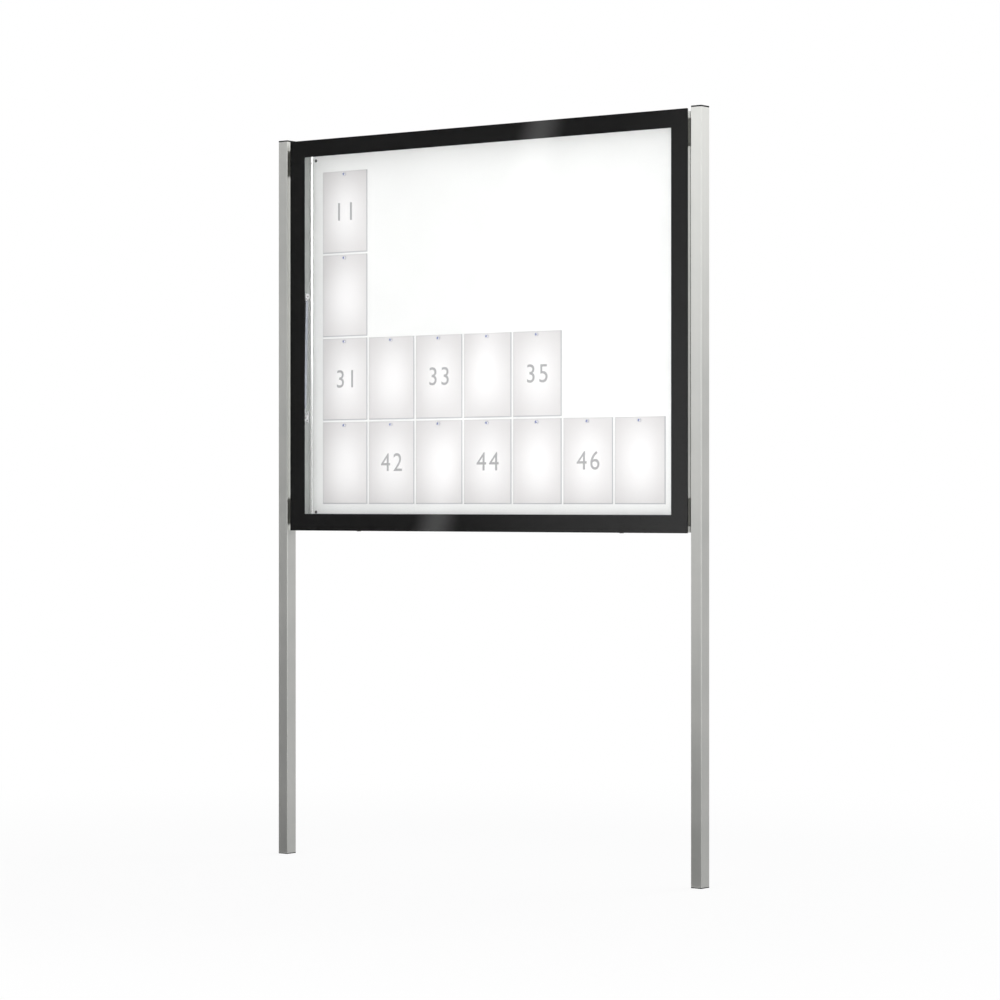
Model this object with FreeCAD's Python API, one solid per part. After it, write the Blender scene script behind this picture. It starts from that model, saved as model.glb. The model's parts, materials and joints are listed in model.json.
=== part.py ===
import FreeCAD, Part
import math
import os

# Lockable outdoor notice board on two posts: a shallow aluminium case with a
# top-hinged glass door, held open by two gas springs and shut by two cam locks.
# Lengths are in millimetres. X runs along the width, Y from the glass to the
# back, Z up. The origin is on the ground, under the middle of the board.

vec = FreeCAD.Vector

# Posts
post_width = 42.0
post_depth = 48.0
post_height = 2598.0
post_wall = 3.0
post_corner_radius = 1.5
post_cap_thickness = 5.0
post_foot_thickness = 3.0
post_plug_length = 25.0
post_plug_clearance = 0.15
anchor_hole_radius = 5.1

# Door, measured on the glass
door_width = 1750.0
door_height = 1416.0
door_below_post_top = 2.0
glass_thickness = 5.0
glass_corner_radius = 3.0
print_thickness = 0.3
border_side = 68.0
border_top = 61.0
bond_thickness = 1.5
bond_inset = 6.0
bond_width = 16.0
door_frame_width = 30.0
door_frame_depth = 12.0
door_frame_wall = 1.5
post_gap = 14.0

# Case
case_depth = 60.0
case_frame_width = 35.0
case_wall = 2.0
case_side_inset = 2.0
case_bottom_inset = 2.0
case_top_inset = 8.0
ridge_start = 37.5
ridge_width = 5.5
ridge_height = 1.5
recess_depth = 2.0
rear_flange = 1.8
panel_thickness = 1.0
rear_cover_thickness = 2.0
groove_clearance = 0.1
panel_edge_clearance = 1.0
wall_hole_radius = 3.25
wall_hole_from_side = 60.0
wall_hole_from_top = 67.0
grommet_wall = 1.25
grommet_flange_radius = 5.5
grommet_flange = 0.8
grommet_clearance = 0.05
corner_key_leg = 60.0
corner_key_clearance = 0.2
corner_key_bolt_gap = 4.5
seal_width = 4.4
seal_clearance = 0.2
seal_margin = 0.3

# Top hinge
hinge_end_inset = 23.0
hinge_knuckle_count = 34
hinge_knuckle_gap = 0.3
hinge_barrel_radius = 3.5
hinge_pin_radius = 2.0
hinge_leaf_thickness = 1.5
hinge_leaf_height = 25.0
hinge_leaf_play = 0.2
hinge_top_clearance = 0.5
hinge_screw_pitch = 150.0
hinge_screw_end = 50.0
running_clearance = 0.05

# Countersunk and pan head screws
screw_clearance = 0.05
small_screw_radius = 1.75
small_screw_head_radius = 3.5
small_screw_head = 1.4
small_screw_length = 6.0
bracket_screw_radius = 2.0
bracket_screw_head_radius = 3.6
bracket_screw_head = 2.0
bracket_screw_length = 8.0

# Gas springs, one at each side
spring_wall_gap = 0.5
spring_low_depth = 25.7
spring_low_drop = 999.4
spring_high_depth = 35.7
spring_high_drop = 560.4
spring_tube_radius = 7.5
spring_tube_wall = 1.2
spring_tube_start = 30.0
spring_guide_length = 6.0
spring_neck_length = 15.0
spring_rod_radius = 4.0
spring_rod_end_radius = 2.5
spring_rod_margin = 30.0
spring_piston_length = 10.0
spring_low_eye_thickness = 9.0
spring_low_eye_radius = 9.0
spring_high_eye_radius = 11.5
spring_high_eye_bore = 4.5
spring_stud_radius = 4.0
spring_stud_head_radius = 6.0
spring_stud_head = 1.5
spring_stud_spigot = 3.0
open_pivot_gap = 0.3
stud_head_gap = 0.3
case_bracket_thickness = 3.0
case_bracket_tip_radius = 10.0
case_bracket_ridge_gap = 1.0
case_bracket_base_height = 45.0
case_bracket_flange = 6.0
case_bracket_flange_thickness = 1.5
case_bracket_flange_start = 16.0
case_bracket_screw_spacing = 24.0
case_bracket_screw_inset = 8.0
door_bracket_thickness = 2.5
door_bracket_base_thickness = 3.0
door_bracket_base_height = 40.0
door_bracket_eye_radius = 12.5
door_bracket_inset = 1.2
door_bracket_screw_spacing = 28.0
door_bracket_clearance = 0.5

# Cam locks in the bottom rail of the case
lock_from_side = 295.0
lock_setback = 15.0
lock_rim_radius = 8.0
lock_rim_height = 4.0
lock_body_radius = 6.0
lock_body_length = 16.0
lock_body_clearance = 0.1
lock_plug_radius = 4.0
lock_plug_recess = 0.3
lock_plug_square = 5.6
key_slot_width = 1.2
key_slot_length = 5.0
key_slot_depth = 9.0
lock_nut_flats = 15.0
lock_nut_height = 4.0
cam_thickness = 2.5
cam_hub_radius = 7.0
cam_arm_half_width = 4.0
cam_hook_play = 0.8
cam_hook_radial = 3.0
cam_hook_half_width = 3.0
cam_hook_drop = 4.0
cam_gap = 0.3
cam_slot_clearance = 0.5
cam_screw_head_radius = 3.5
cam_screw_head = 2.5
cam_screw_radius = 1.5
cam_screw_length = 6.0

# Fixing of the case between the posts
spacer_height = 95.0
spacer_depth = 24.0
spacer_end_inset = 20.5
spacer_bolt_spacing = 40.0
bolt_radius = 4.0
bolt_clearance = 0.5
bolt_head_radius = 6.5
bolt_head_height = 8.0
bolt_socket_radius = 3.4
bolt_socket_depth = 4.0
nut_plate_thickness = 6.0
nut_plate_clearance = 0.75
nut_plate_margin = 12.0
access_hole_radius = 7.5
access_plug_flange_radius = 8.5
access_plug_flange = 0.8
access_plug_clearance = 0.1

# Notices held by magnets on the steel panel
sheet_width = 210.0
sheet_height = 297.0
sheet_thickness = 1.0
sheets_in_row = (1, 1, 5, 7)
sheet_column_gap = 7.8
sheet_row_gap = 6.5
sheet_left_margin = 56.7
sheet_top_margin = 68.7
magnet_radius = 6.5
magnet_height = 9.0
magnet_inset = 12.0

# Places that follow from the sizes above
door_seal_gap = 2 * hinge_leaf_thickness + hinge_leaf_play
front_depth = glass_thickness + print_thickness + bond_thickness + door_frame_depth
case_front_depth = front_depth + door_seal_gap
overall_depth = case_front_depth + case_depth
front_y = -overall_depth / 2
glass_back_y = front_y + glass_thickness
print_back_y = glass_back_y + print_thickness
door_frame_front_y = print_back_y + bond_thickness
door_back_y = front_y + front_depth
case_front_y = front_y + case_front_depth
case_back_y = front_y + overall_depth
groove_width = panel_thickness + rear_cover_thickness + 2 * groove_clearance
groove_front_y = case_back_y - rear_flange - groove_width
panel_front_y = groove_front_y + groove_clearance
panel_back_y = panel_front_y + panel_thickness

door_top = post_height - door_below_post_top
door_bottom = door_top - door_height
case_half_width = door_width / 2 - case_side_inset
case_bottom = door_bottom + case_bottom_inset
case_top = door_top - case_top_inset
case_box = (-case_half_width, case_half_width, case_bottom, case_top)
case_inner_x = case_half_width - case_frame_width
door_inner_x = case_half_width - door_frame_width

post_inner_x = door_width / 2 + post_gap
post_middle_x = post_inner_x + post_width / 2
post_middle_y = front_y + post_depth / 2

hinge_length = 2 * (case_half_width - hinge_end_inset)
hinge_y = (door_back_y + case_front_y) / 2
hinge_z = case_top + hinge_barrel_radius + hinge_top_clearance
hinge_leaf_top = hinge_z - hinge_barrel_radius - hinge_knuckle_gap
hinge_leaf_bottom = hinge_leaf_top - hinge_leaf_height

spring_low_y = front_y + spring_low_depth
spring_high_y = front_y + spring_high_depth
spring_low_z = hinge_z - spring_low_drop
spring_high_z = hinge_z - spring_high_drop
spring_length = math.hypot(spring_high_y - spring_low_y, spring_high_z - spring_low_z)
spring_tilt = -math.degrees(math.asin((spring_high_y - spring_low_y) / spring_length))
case_bracket_face_x = case_inner_x - case_bracket_thickness
door_bracket_face_x = case_inner_x - door_bracket_clearance - door_bracket_thickness
bracket_face_x = min(case_bracket_face_x, door_bracket_face_x)
spring_x = bracket_face_x - spring_wall_gap - spring_tube_radius

lock_x = door_width / 2 - lock_from_side
lock_y = case_front_y + lock_setback
cam_hook_start = lock_setback + door_seal_gap + door_frame_wall + cam_hook_play
cam_reach = cam_hook_start + cam_hook_radial
cam_bottom = case_bottom + lock_body_length + cam_gap
cam_top = cam_bottom + cam_thickness


def box(x_range, y_range, z_range):
    corner = vec(min(x_range), min(y_range), min(z_range))
    return Part.makeBox(abs(x_range[1] - x_range[0]), abs(y_range[1] - y_range[0]),
                        abs(z_range[1] - z_range[0]), corner)


def rod(radius, start, end):
    run = end.sub(start)
    return Part.makeCylinder(radius, run.Length, start, run)


def plate(points, height):
    """A flat face through the points, pushed along the vector height."""
    return Part.Face(Part.makePolygon(points + [points[0]])).extrude(height)


def rounded_box(x_range, y_range, z_range, radius):
    """A box whose four upright edges are rounded."""
    block = box(x_range, y_range, z_range)
    upright = [edge for edge in block.Edges
               if abs(edge.Vertexes[0].X - edge.Vertexes[1].X) < radius
               and abs(edge.Vertexes[0].Y - edge.Vertexes[1].Y) < radius]
    return block.makeFillet(radius, upright)


def mirrored(shape):
    return shape.mirror(vec(0, 0, 0), vec(1, 0, 0))


def both_sides(name, shape):
    """The right-hand piece as built, and its mirror image on the left."""
    return {name + "_right": shape, name + "_left": mirrored(shape)}


def frame_member(side, outline, bounds):
    """One side of a rectangular frame, mitred at both ends.

    outline holds (distance inwards from the frame's edge, y) pairs, and bounds
    the frame's outer box as (x low, x high, z low, z high).
    """
    x_low, x_high, z_low, z_high = bounds
    reach = max(inwards for inwards, _ in outline)
    y_low = min(y for _, y in outline)
    y_high = max(y for _, y in outline)
    upright = side in ("left", "right")
    if side == "left":
        points = [vec(x_low + inwards, y, z_low) for inwards, y in outline]
        trim = [(x_low, z_low), (x_low, z_high), (x_low + reach, z_high - reach),
                (x_low + reach, z_low + reach)]
    elif side == "right":
        points = [vec(x_high - inwards, y, z_low) for inwards, y in outline]
        trim = [(x_high, z_low), (x_high, z_high), (x_high - reach, z_high - reach),
                (x_high - reach, z_low + reach)]
    elif side == "bottom":
        points = [vec(x_low, y, z_low + inwards) for inwards, y in outline]
        trim = [(x_low, z_low), (x_high, z_low), (x_high - reach, z_low + reach),
                (x_low + reach, z_low + reach)]
    else:
        points = [vec(x_low, y, z_high - inwards) for inwards, y in outline]
        trim = [(x_low, z_high), (x_high, z_high), (x_high - reach, z_high - reach),
                (x_low + reach, z_high - reach)]
    run = vec(0, 0, z_high - z_low) if upright else vec(x_high - x_low, 0, 0)
    wedge = plate([vec(x, y_low, z) for x, z in trim], vec(0, y_high - y_low, 0))
    return plate(points, run).common(wedge)


def ring(bounds, widths, y_range):
    """A flat rectangular ring; widths are its band at the sides and at top and bottom."""
    x_low, x_high, z_low, z_high = bounds
    side, top = widths
    outer = box((x_low, x_high), y_range, (z_low, z_high))
    return outer.cut(box((x_low + side, x_high - side), y_range, (z_low + top, z_high - top)))


def inset(bounds, amount):
    x_low, x_high, z_low, z_high = bounds
    return (x_low + amount, x_high - amount, z_low + amount, z_high - amount)


def countersunk_screw(tip_of_head, direction, grow=0.0):
    """A flat-headed screw; grow widens it all round, to cut its hole."""
    start = vec(tip_of_head)
    head = Part.makeCone(small_screw_head_radius + grow, small_screw_radius + grow,
                         small_screw_head, start, direction)
    shank_start = start.add(vec(direction).multiply(small_screw_head))
    shank = Part.makeCylinder(small_screw_radius + grow, small_screw_length, shank_start, direction)
    return head.fuse(shank).removeSplitter()


def pan_screw(seat, direction, grow=0.0):
    """A round-headed screw; direction points from its seat into the wall."""
    outwards = vec(direction).multiply(-bracket_screw_head)
    head = Part.makeCylinder(bracket_screw_head_radius, bracket_screw_head,
                             vec(seat).add(outwards), direction)
    shank = Part.makeCylinder(bracket_screw_radius + grow, bracket_screw_length, seat, direction)
    return head.fuse(shank).removeSplitter()


def post_outline(z_range, clearance, inner):
    """The post's section, or its bore less a clearance, as a block between two heights."""
    shrink = post_wall + clearance if inner else 0.0
    half_x = post_width / 2 - shrink
    half_y = post_depth / 2 - shrink
    radius = post_corner_radius / 2 if inner else post_corner_radius
    return rounded_box((post_middle_x - half_x, post_middle_x + half_x),
                       (post_middle_y - half_y, post_middle_y + half_y), z_range, radius)


def fixing_points():
    """The Y and Z of each bolt that holds one side of the case to its post."""
    points = []
    for middle_z in spacer_levels():
        for step in (-0.5, 0.5):
            points.append((spacer_y(), middle_z + step * spacer_bolt_spacing))
    return points


def spacer_levels():
    edge = spacer_end_inset + spacer_height / 2
    return (case_bottom + edge, case_top - edge)


def spacer_y():
    return (case_front_y + front_y + post_depth) / 2


def posts():
    tube = post_outline((post_foot_thickness, post_height), 0.0, False)
    tube = tube.cut(post_outline((0, post_height + post_wall), 0.0, True))
    for y, z in fixing_points():
        tube = tube.cut(rod(bolt_radius + bolt_clearance, vec(post_inner_x - post_wall, y, z),
                            vec(post_inner_x + 2 * post_wall, y, z)))
    return both_sides("post", tube)


def post_caps():
    top = post_height + post_cap_thickness
    lid = post_outline((post_height, top), 0.0, False)
    plug = post_outline((post_height - post_plug_length, post_height), post_plug_clearance, True)
    hollow = post_outline((post_height - post_plug_length - post_wall, post_height),
                          post_plug_clearance + post_wall, True)
    return both_sides("post_cap", lid.fuse(plug.cut(hollow)).removeSplitter())


def post_feet():
    sole = post_outline((0, post_foot_thickness), 0.0, False)
    plug_top = post_foot_thickness + post_plug_length
    plug = post_outline((post_foot_thickness, plug_top), post_plug_clearance, True)
    anchor = rod(anchor_hole_radius, vec(post_middle_x, post_middle_y, -post_wall),
                 vec(post_middle_x, post_middle_y, plug_top + post_wall))
    return both_sides("post_foot", sole.fuse(plug).removeSplitter().cut(anchor))


def post_spacers():
    """Blocks with round ends between the case and each post."""
    x_range = (case_half_width, post_inner_x)
    end_radius = spacer_depth / 2
    solids = []
    for middle_z in spacer_levels():
        reach = spacer_height / 2 - end_radius
        block = box(x_range, (spacer_y() - end_radius, spacer_y() + end_radius),
                    (middle_z - reach, middle_z + reach))
        for end_z in (middle_z - reach, middle_z + reach):
            block = block.fuse(rod(end_radius, vec(x_range[0], spacer_y(), end_z),
                                   vec(x_range[1], spacer_y(), end_z)))
        block = block.removeSplitter()
        for y, z in fixing_points():
            if abs(z - middle_z) < spacer_height / 2:
                block = block.cut(rod(bolt_radius + bolt_clearance, vec(x_range[0], y, z),
                                      vec(x_range[1], y, z)))
        solids += [block, mirrored(block)]
    return {"post_spacers": Part.makeCompound(solids)}


def post_nut_plates():
    """Steel strips inside the posts, tapped for the fixing bolts."""
    x_low = post_inner_x + post_wall
    bore_edge_y = post_middle_y + post_depth / 2 - post_wall - post_corner_radius / 2
    half_width = bore_edge_y - spacer_y() - nut_plate_clearance
    half_height = spacer_bolt_spacing / 2 + nut_plate_margin
    solids = []
    for middle_z in spacer_levels():
        strip = box((x_low, x_low + nut_plate_thickness),
                    (spacer_y() - half_width, spacer_y() + half_width),
                    (middle_z - half_height, middle_z + half_height))
        for y, z in fixing_points():
            strip = strip.cut(rod(bolt_radius + screw_clearance, vec(x_low - post_wall, y, z),
                                  vec(x_low + nut_plate_thickness + post_wall, y, z)))
        solids += [strip, mirrored(strip)]
    return {"post_nut_plates": Part.makeCompound(solids)}


def post_bolts():
    """Socket head bolts from inside each stile, through the spacer, into the nut plate."""
    seat_x = case_half_width - case_wall
    tip_x = post_inner_x + post_wall + nut_plate_thickness
    solids = []
    for y, z in fixing_points():
        shank = rod(bolt_radius, vec(seat_x, y, z), vec(tip_x, y, z))
        head = rod(bolt_head_radius, vec(seat_x - bolt_head_height, y, z), vec(seat_x, y, z))
        socket = rod(bolt_socket_radius, vec(seat_x - bolt_head_height, y, z),
                     vec(seat_x - bolt_head_height + bolt_socket_depth, y, z))
        bolt = head.fuse(shank).removeSplitter().cut(socket)
        solids += [bolt, mirrored(bolt)]
    return {"post_bolts": Part.makeCompound(solids)}


def access_plugs():
    """Caps in the holes through which the fixing bolts are tightened."""
    inner = case_inner_x
    solids = []
    for y, z in fixing_points():
        body = rod(access_hole_radius - access_plug_clearance, vec(inner, y, z),
                   vec(inner + case_wall, y, z))
        flange = rod(access_plug_flange_radius, vec(inner - access_plug_flange, y, z),
                     vec(inner, y, z))
        cap = body.fuse(flange).removeSplitter()
        solids += [cap, mirrored(cap)]
    return {"bolt_access_plugs": Part.makeCompound(solids)}


def case_outline():
    """The case extrusion: a box section with a raised ridge, a recess and a panel groove."""
    ridge_end = ridge_start + ridge_width
    recess = case_frame_width - recess_depth
    front = case_front_y
    back = case_back_y
    groove_back = back - rear_flange
    return [(0, front), (case_frame_width, front),
            (case_frame_width, front + ridge_start),
            (case_frame_width + ridge_height, front + ridge_start),
            (case_frame_width + ridge_height, front + ridge_end),
            (recess, front + ridge_end), (recess, groove_front_y),
            (case_wall, groove_front_y), (case_wall, groove_back),
            (recess, groove_back), (recess, back), (0, back)]


def case_hollow():
    step = case_front_y + ridge_start + ridge_width - case_wall
    inner = case_frame_width - case_wall
    behind = case_frame_width - recess_depth - case_wall
    low = case_front_y + case_wall
    high = groove_front_y - case_wall
    return [(case_wall, low), (inner, low), (inner, step), (behind, step),
            (behind, high), (case_wall, high)]


def case_rail(side):
    member = frame_member(side, case_outline(), case_box)
    return member.cut(frame_member(side, case_hollow(), case_box))


def case_stiles():
    stile = case_rail("right")
    for y, z in fixing_points():
        stile = stile.cut(rod(bolt_radius + bolt_clearance, vec(case_inner_x + case_wall, y, z),
                              vec(case_half_width + case_wall, y, z)))
        stile = stile.cut(rod(access_hole_radius, vec(case_inner_x - case_wall, y, z),
                              vec(case_inner_x + 2 * case_wall, y, z)))
    for seat in case_bracket_screw_seats():
        stile = stile.cut(pan_screw(seat, vec(1, 0, 0), screw_clearance))
    return {"case_right_stile": stile, "case_left_stile": mirrored(stile)}


def case_top_rail():
    rail = case_rail("top")
    for x in hinge_screw_places():
        rail = rail.cut(case_hinge_screw(x, screw_clearance))
    return {"case_top_rail": rail}


def case_bottom_rail():
    rail = case_rail("bottom")
    for x in (-lock_x, lock_x):
        rail = rail.cut(rod(lock_body_radius + lock_body_clearance,
                            vec(x, lock_y, case_bottom - case_wall),
                            vec(x, lock_y, case_bottom + 2 * case_wall)))
        rail = rail.cut(case_cam_slot(x))
    return {"case_bottom_rail": rail}


def cam_sweep(distance):
    """How far to the side the cam's tip reaches as it passes a wall this far in front."""
    tip = math.hypot(cam_reach, cam_hook_half_width)
    return math.sqrt(tip ** 2 - distance ** 2) + cam_slot_clearance


def cam_inner_sweep(distance):
    """How near to the middle the hook's inner edge comes at that distance."""
    return math.sqrt(cam_hook_start ** 2 - distance ** 2) - cam_slot_clearance


def case_cam_slot(x):
    wall_back = lock_setback - case_wall
    z_range = (cam_bottom - cam_hook_drop - cam_slot_clearance, cam_top + cam_slot_clearance)
    left = x - cam_arm_half_width - cam_slot_clearance
    return box((left, x + cam_sweep(wall_back)),
               (case_front_y - case_wall, case_front_y + case_wall), z_range)


def door_cam_slots(x):
    """A low slot for the cam's arm, with a taller end through which its hook passes."""
    near = lock_setback + door_seal_gap
    far = near + door_frame_wall
    y_range = (door_back_y - door_frame_wall, door_back_y + door_frame_wall)
    right = x + cam_sweep(near)
    low = box((x - cam_arm_half_width - cam_slot_clearance, right), y_range,
              (cam_bottom - cam_slot_clearance, cam_top + cam_slot_clearance))
    tall = box((x + cam_inner_sweep(far), right), y_range,
               (cam_bottom - cam_hook_drop - cam_slot_clearance, cam_top + cam_slot_clearance))
    return low.fuse(tall)


def corner_keys(name, band, wall, y_range):
    """Angle pieces that slide into the hollow ends and hold the mitres together."""
    gap = wall + corner_key_clearance
    leg = corner_key_leg
    thickness = band - 2 * gap
    x_high, z_low, z_high = case_box[1:]
    solids = []
    for z, up in ((z_low, 1), (z_high, -1)):
        across = box((x_high - gap, x_high - gap - leg), y_range,
                     (z + up * gap, z + up * (gap + thickness)))
        along = box((x_high - gap, x_high - gap - thickness), y_range,
                    (z + up * gap, z + up * (gap + leg)))
        key = across.fuse(along).removeSplitter()
        solids += [key, mirrored(key)]
    return {name: Part.makeCompound(solids)}


def case_keys():
    """The case's keys lie behind the heads of the fixing bolts."""
    y_range = (spacer_y() + bolt_head_radius + corner_key_bolt_gap,
               groove_front_y - case_wall - corner_key_clearance)
    return corner_keys("case_corner_keys", case_frame_width - recess_depth, case_wall, y_range)


def door_keys():
    gap = door_frame_wall + corner_key_clearance
    return corner_keys("door_corner_keys", door_frame_width, door_frame_wall,
                       (door_frame_front_y + gap, door_back_y - gap))


def wall_hole_places():
    x = door_width / 2 - wall_hole_from_side
    levels = (door_bottom + wall_hole_from_top, door_top - wall_hole_from_top)
    return [(side * x, z) for side in (-1, 1) for z in levels]


def grommets():
    """Rubber rings in the holes through which the case can be screwed to a wall."""
    back_y = panel_back_y + rear_cover_thickness
    flange_y = panel_front_y - grommet_flange
    solids = []
    for x, z in wall_hole_places():
        sleeve = rod(wall_hole_radius + grommet_wall, vec(x, panel_front_y, z), vec(x, back_y, z))
        flange = rod(grommet_flange_radius, vec(x, flange_y, z), vec(x, panel_front_y, z))
        bore = rod(wall_hole_radius, vec(x, flange_y, z), vec(x, back_y, z))
        solids.append(sleeve.fuse(flange).removeSplitter().cut(bore))
    return {"wall_hole_grommets": Part.makeCompound(solids)}


def panels():
    """The white steel panel and the rear cover, slid together into the groove."""
    edge = case_wall + panel_edge_clearance
    x_low, x_high, z_low, z_high = inset(case_box, edge)
    pieces = {}
    rear_back_y = panel_back_y + rear_cover_thickness
    for name, y_range in (("display_panel", (panel_front_y, panel_back_y)),
                          ("rear_cover", (panel_back_y, rear_back_y))):
        sheet = box((x_low, x_high), y_range, (z_low, z_high))
        for x, z in wall_hole_places():
            sheet = sheet.cut(rod(wall_hole_radius + grommet_wall + grommet_clearance,
                                  vec(x, min(y_range), z), vec(x, max(y_range), z)))
        pieces[name] = sheet
    return pieces


def door_seal():
    """A soft strip round the case's front, just inside the hinge leaf."""
    start = case_top - hinge_leaf_bottom + seal_margin
    return {"door_seal": ring(inset(case_box, start), (seal_width, seal_width),
                              (door_back_y + seal_clearance, case_front_y))}


def door_glass():
    half = door_width / 2
    pane = box((-half, half), (front_y, glass_back_y), (door_bottom, door_top))
    corners = [edge for edge in pane.Edges
               if abs(edge.Vertexes[0].Y - edge.Vertexes[1].Y) > glass_thickness / 2]
    return {"door_glass": pane.makeFillet(glass_corner_radius, corners)}


def door_print():
    """The black border printed on the back of the glass."""
    half = door_width / 2
    bounds = inset((-half, half, door_bottom, door_top), glass_corner_radius / 2)
    widths = (border_side - glass_corner_radius / 2, border_top - glass_corner_radius / 2)
    return {"door_border_print": ring(bounds, widths, (glass_back_y, print_back_y))}


def glass_bond():
    return {"door_glass_bond": ring(inset(case_box, bond_inset), (bond_width, bond_width),
                                    (print_back_y, door_frame_front_y))}


def door_frame():
    """Four mitred box sections that carry the glass."""
    wall = door_frame_wall
    outline = [(0, door_frame_front_y), (door_frame_width, door_frame_front_y),
               (door_frame_width, door_back_y), (0, door_back_y)]
    far = door_frame_width - wall
    hollow = [(wall, door_frame_front_y + wall), (far, door_frame_front_y + wall),
              (far, door_back_y - wall), (wall, door_back_y - wall)]
    members = {}
    for side in ("left", "right", "bottom", "top"):
        member = frame_member(side, outline, case_box)
        members[side] = member.cut(frame_member(side, hollow, case_box))
    for x in hinge_screw_places():
        members["top"] = members["top"].cut(door_hinge_screw(x, screw_clearance))
    for x in (-lock_x, lock_x):
        members["bottom"] = members["bottom"].cut(door_cam_slots(x))
    for seat in door_bracket_screw_seats():
        hole = pan_screw(seat, vec(1, 0, 0), screw_clearance)
        members["right"] = members["right"].cut(hole)
        members["left"] = members["left"].cut(mirrored(hole))
    return {"door_left_stile": members["left"], "door_right_stile": members["right"],
            "door_bottom_rail": members["bottom"], "door_top_rail": members["top"]}


def hinge_screw_places():
    steps = int((hinge_length - 2 * hinge_screw_end) // hinge_screw_pitch)
    return [(number - steps / 2) * hinge_screw_pitch for number in range(steps + 1)]


def hinge_screw_z():
    return (hinge_leaf_top + hinge_leaf_bottom) / 2


def case_hinge_screw(x, grow=0.0):
    seat = vec(x, hinge_y + hinge_leaf_play / 2, hinge_screw_z())
    return countersunk_screw(seat, vec(0, 1, 0), grow)


def door_hinge_screw(x, grow=0.0):
    seat = vec(x, hinge_y - hinge_leaf_play / 2, hinge_screw_z())
    return countersunk_screw(seat, vec(0, -1, 0), grow)


def hinge_leaf(first_knuckle, side):
    """A leaf with every second knuckle; side is 1 towards the case and -1 towards the door."""
    pitch = hinge_length / hinge_knuckle_count
    near = hinge_y + side * hinge_leaf_play / 2
    far = near + side * hinge_leaf_thickness
    tab_top = hinge_z - hinge_pin_radius - running_clearance - hinge_knuckle_gap / 2
    leaf = box((-hinge_length / 2, hinge_length / 2), (near, far),
               (hinge_leaf_bottom, hinge_leaf_top))
    knuckles = []
    for number in range(first_knuckle, hinge_knuckle_count, 2):
        start = -hinge_length / 2 + number * pitch + hinge_knuckle_gap / 2
        end = start + pitch - hinge_knuckle_gap
        barrel = rod(hinge_barrel_radius, vec(start, hinge_y, hinge_z), vec(end, hinge_y, hinge_z))
        tab = box((start, end), (near, far), (hinge_leaf_top, tab_top))
        knuckles += [barrel, tab]
    leaf = leaf.fuse(knuckles).removeSplitter()
    bore = rod(hinge_pin_radius + running_clearance, vec(-hinge_length, hinge_y, hinge_z),
               vec(hinge_length, hinge_y, hinge_z))
    return leaf.cut(bore)


def hinge():
    case_leaf = hinge_leaf(0, 1)
    door_leaf = hinge_leaf(1, -1)
    case_screws = [case_hinge_screw(x) for x in hinge_screw_places()]
    door_screws = [door_hinge_screw(x) for x in hinge_screw_places()]
    for x in hinge_screw_places():
        case_leaf = case_leaf.cut(case_hinge_screw(x, screw_clearance))
        door_leaf = door_leaf.cut(door_hinge_screw(x, screw_clearance))
    pin = rod(hinge_pin_radius, vec(-hinge_length / 2, hinge_y, hinge_z),
              vec(hinge_length / 2, hinge_y, hinge_z))
    return {"hinge_case_leaf": case_leaf, "hinge_door_leaf": door_leaf, "hinge_pin": pin,
            "hinge_case_screws": Part.makeCompound(case_screws),
            "hinge_door_screws": Part.makeCompound(door_screws)}


def on_spring(shape):
    """Moves a shape built upwards from its lower pivot onto the leaning spring."""
    placed = shape.copy()
    placed.Placement = FreeCAD.Placement(vec(spring_x, spring_low_y, spring_low_z),
                                         FreeCAD.Rotation(vec(1, 0, 0), spring_tilt))
    return placed


def spring_cylinder():
    """The pressure tube with its rod guide, closed top and upper eye."""
    tube_end = spring_length - spring_neck_length
    bore_radius = spring_tube_radius - spring_tube_wall
    low = vec(0, 0, spring_tube_start)
    tube = rod(spring_tube_radius, low, vec(0, 0, tube_end))
    rims = [edge for edge in tube.Edges if edge.Length < 3 * math.pi * spring_tube_radius]
    tube = tube.makeChamfer(spring_tube_wall / 2, rims)
    neck = rod(spring_rod_radius, vec(0, 0, tube_end),
               vec(0, 0, spring_length - spring_high_eye_bore))
    eye = rod(spring_high_eye_radius, vec(-spring_tube_radius, 0, spring_length),
              vec(spring_tube_radius, 0, spring_length))
    body = tube.fuse([neck, eye]).removeSplitter()
    chamber = rod(bore_radius, vec(0, 0, spring_tube_start + spring_guide_length),
                  vec(0, 0, tube_end - spring_guide_length))
    guide = rod(spring_rod_radius + running_clearance, vec(0, 0, 0),
                vec(0, 0, spring_tube_start + 2 * spring_guide_length))
    pivot = rod(spring_high_eye_bore, vec(-spring_x, 0, spring_length),
                vec(spring_x, 0, spring_length))
    return both_sides("gas_spring_cylinder", on_spring(body.cut(chamber).cut(guide).cut(pivot)))


def rod_top():
    return spring_length - spring_neck_length - spring_guide_length - spring_rod_margin


def spring_rod():
    """The polished rod, with its lower eye and a thin end for the piston."""
    shaft = rod(spring_rod_radius, vec(0, 0, spring_low_eye_radius / 2), vec(0, 0, rod_top()))
    spigot = rod(spring_rod_end_radius, vec(0, 0, rod_top()),
                 vec(0, 0, rod_top() + spring_piston_length))
    half = spring_low_eye_thickness / 2
    eye = rod(spring_low_eye_radius, vec(-half, 0, 0), vec(half, 0, 0))
    body = shaft.fuse([spigot, eye]).removeSplitter()
    pivot = rod(spring_stud_radius + running_clearance, vec(-spring_x, 0, 0), vec(spring_x, 0, 0))
    return both_sides("gas_spring_rod", on_spring(body.cut(pivot)))


def spring_piston():
    radius = spring_tube_radius - spring_tube_wall - running_clearance
    start = vec(0, 0, rod_top())
    end = vec(0, 0, rod_top() + spring_piston_length)
    disc = rod(radius, start, end).cut(rod(spring_rod_end_radius + running_clearance, start, end))
    return both_sides("gas_spring_piston", on_spring(disc))


def case_bracket_base_y():
    return case_front_y + ridge_start - case_bracket_ridge_gap


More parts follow.
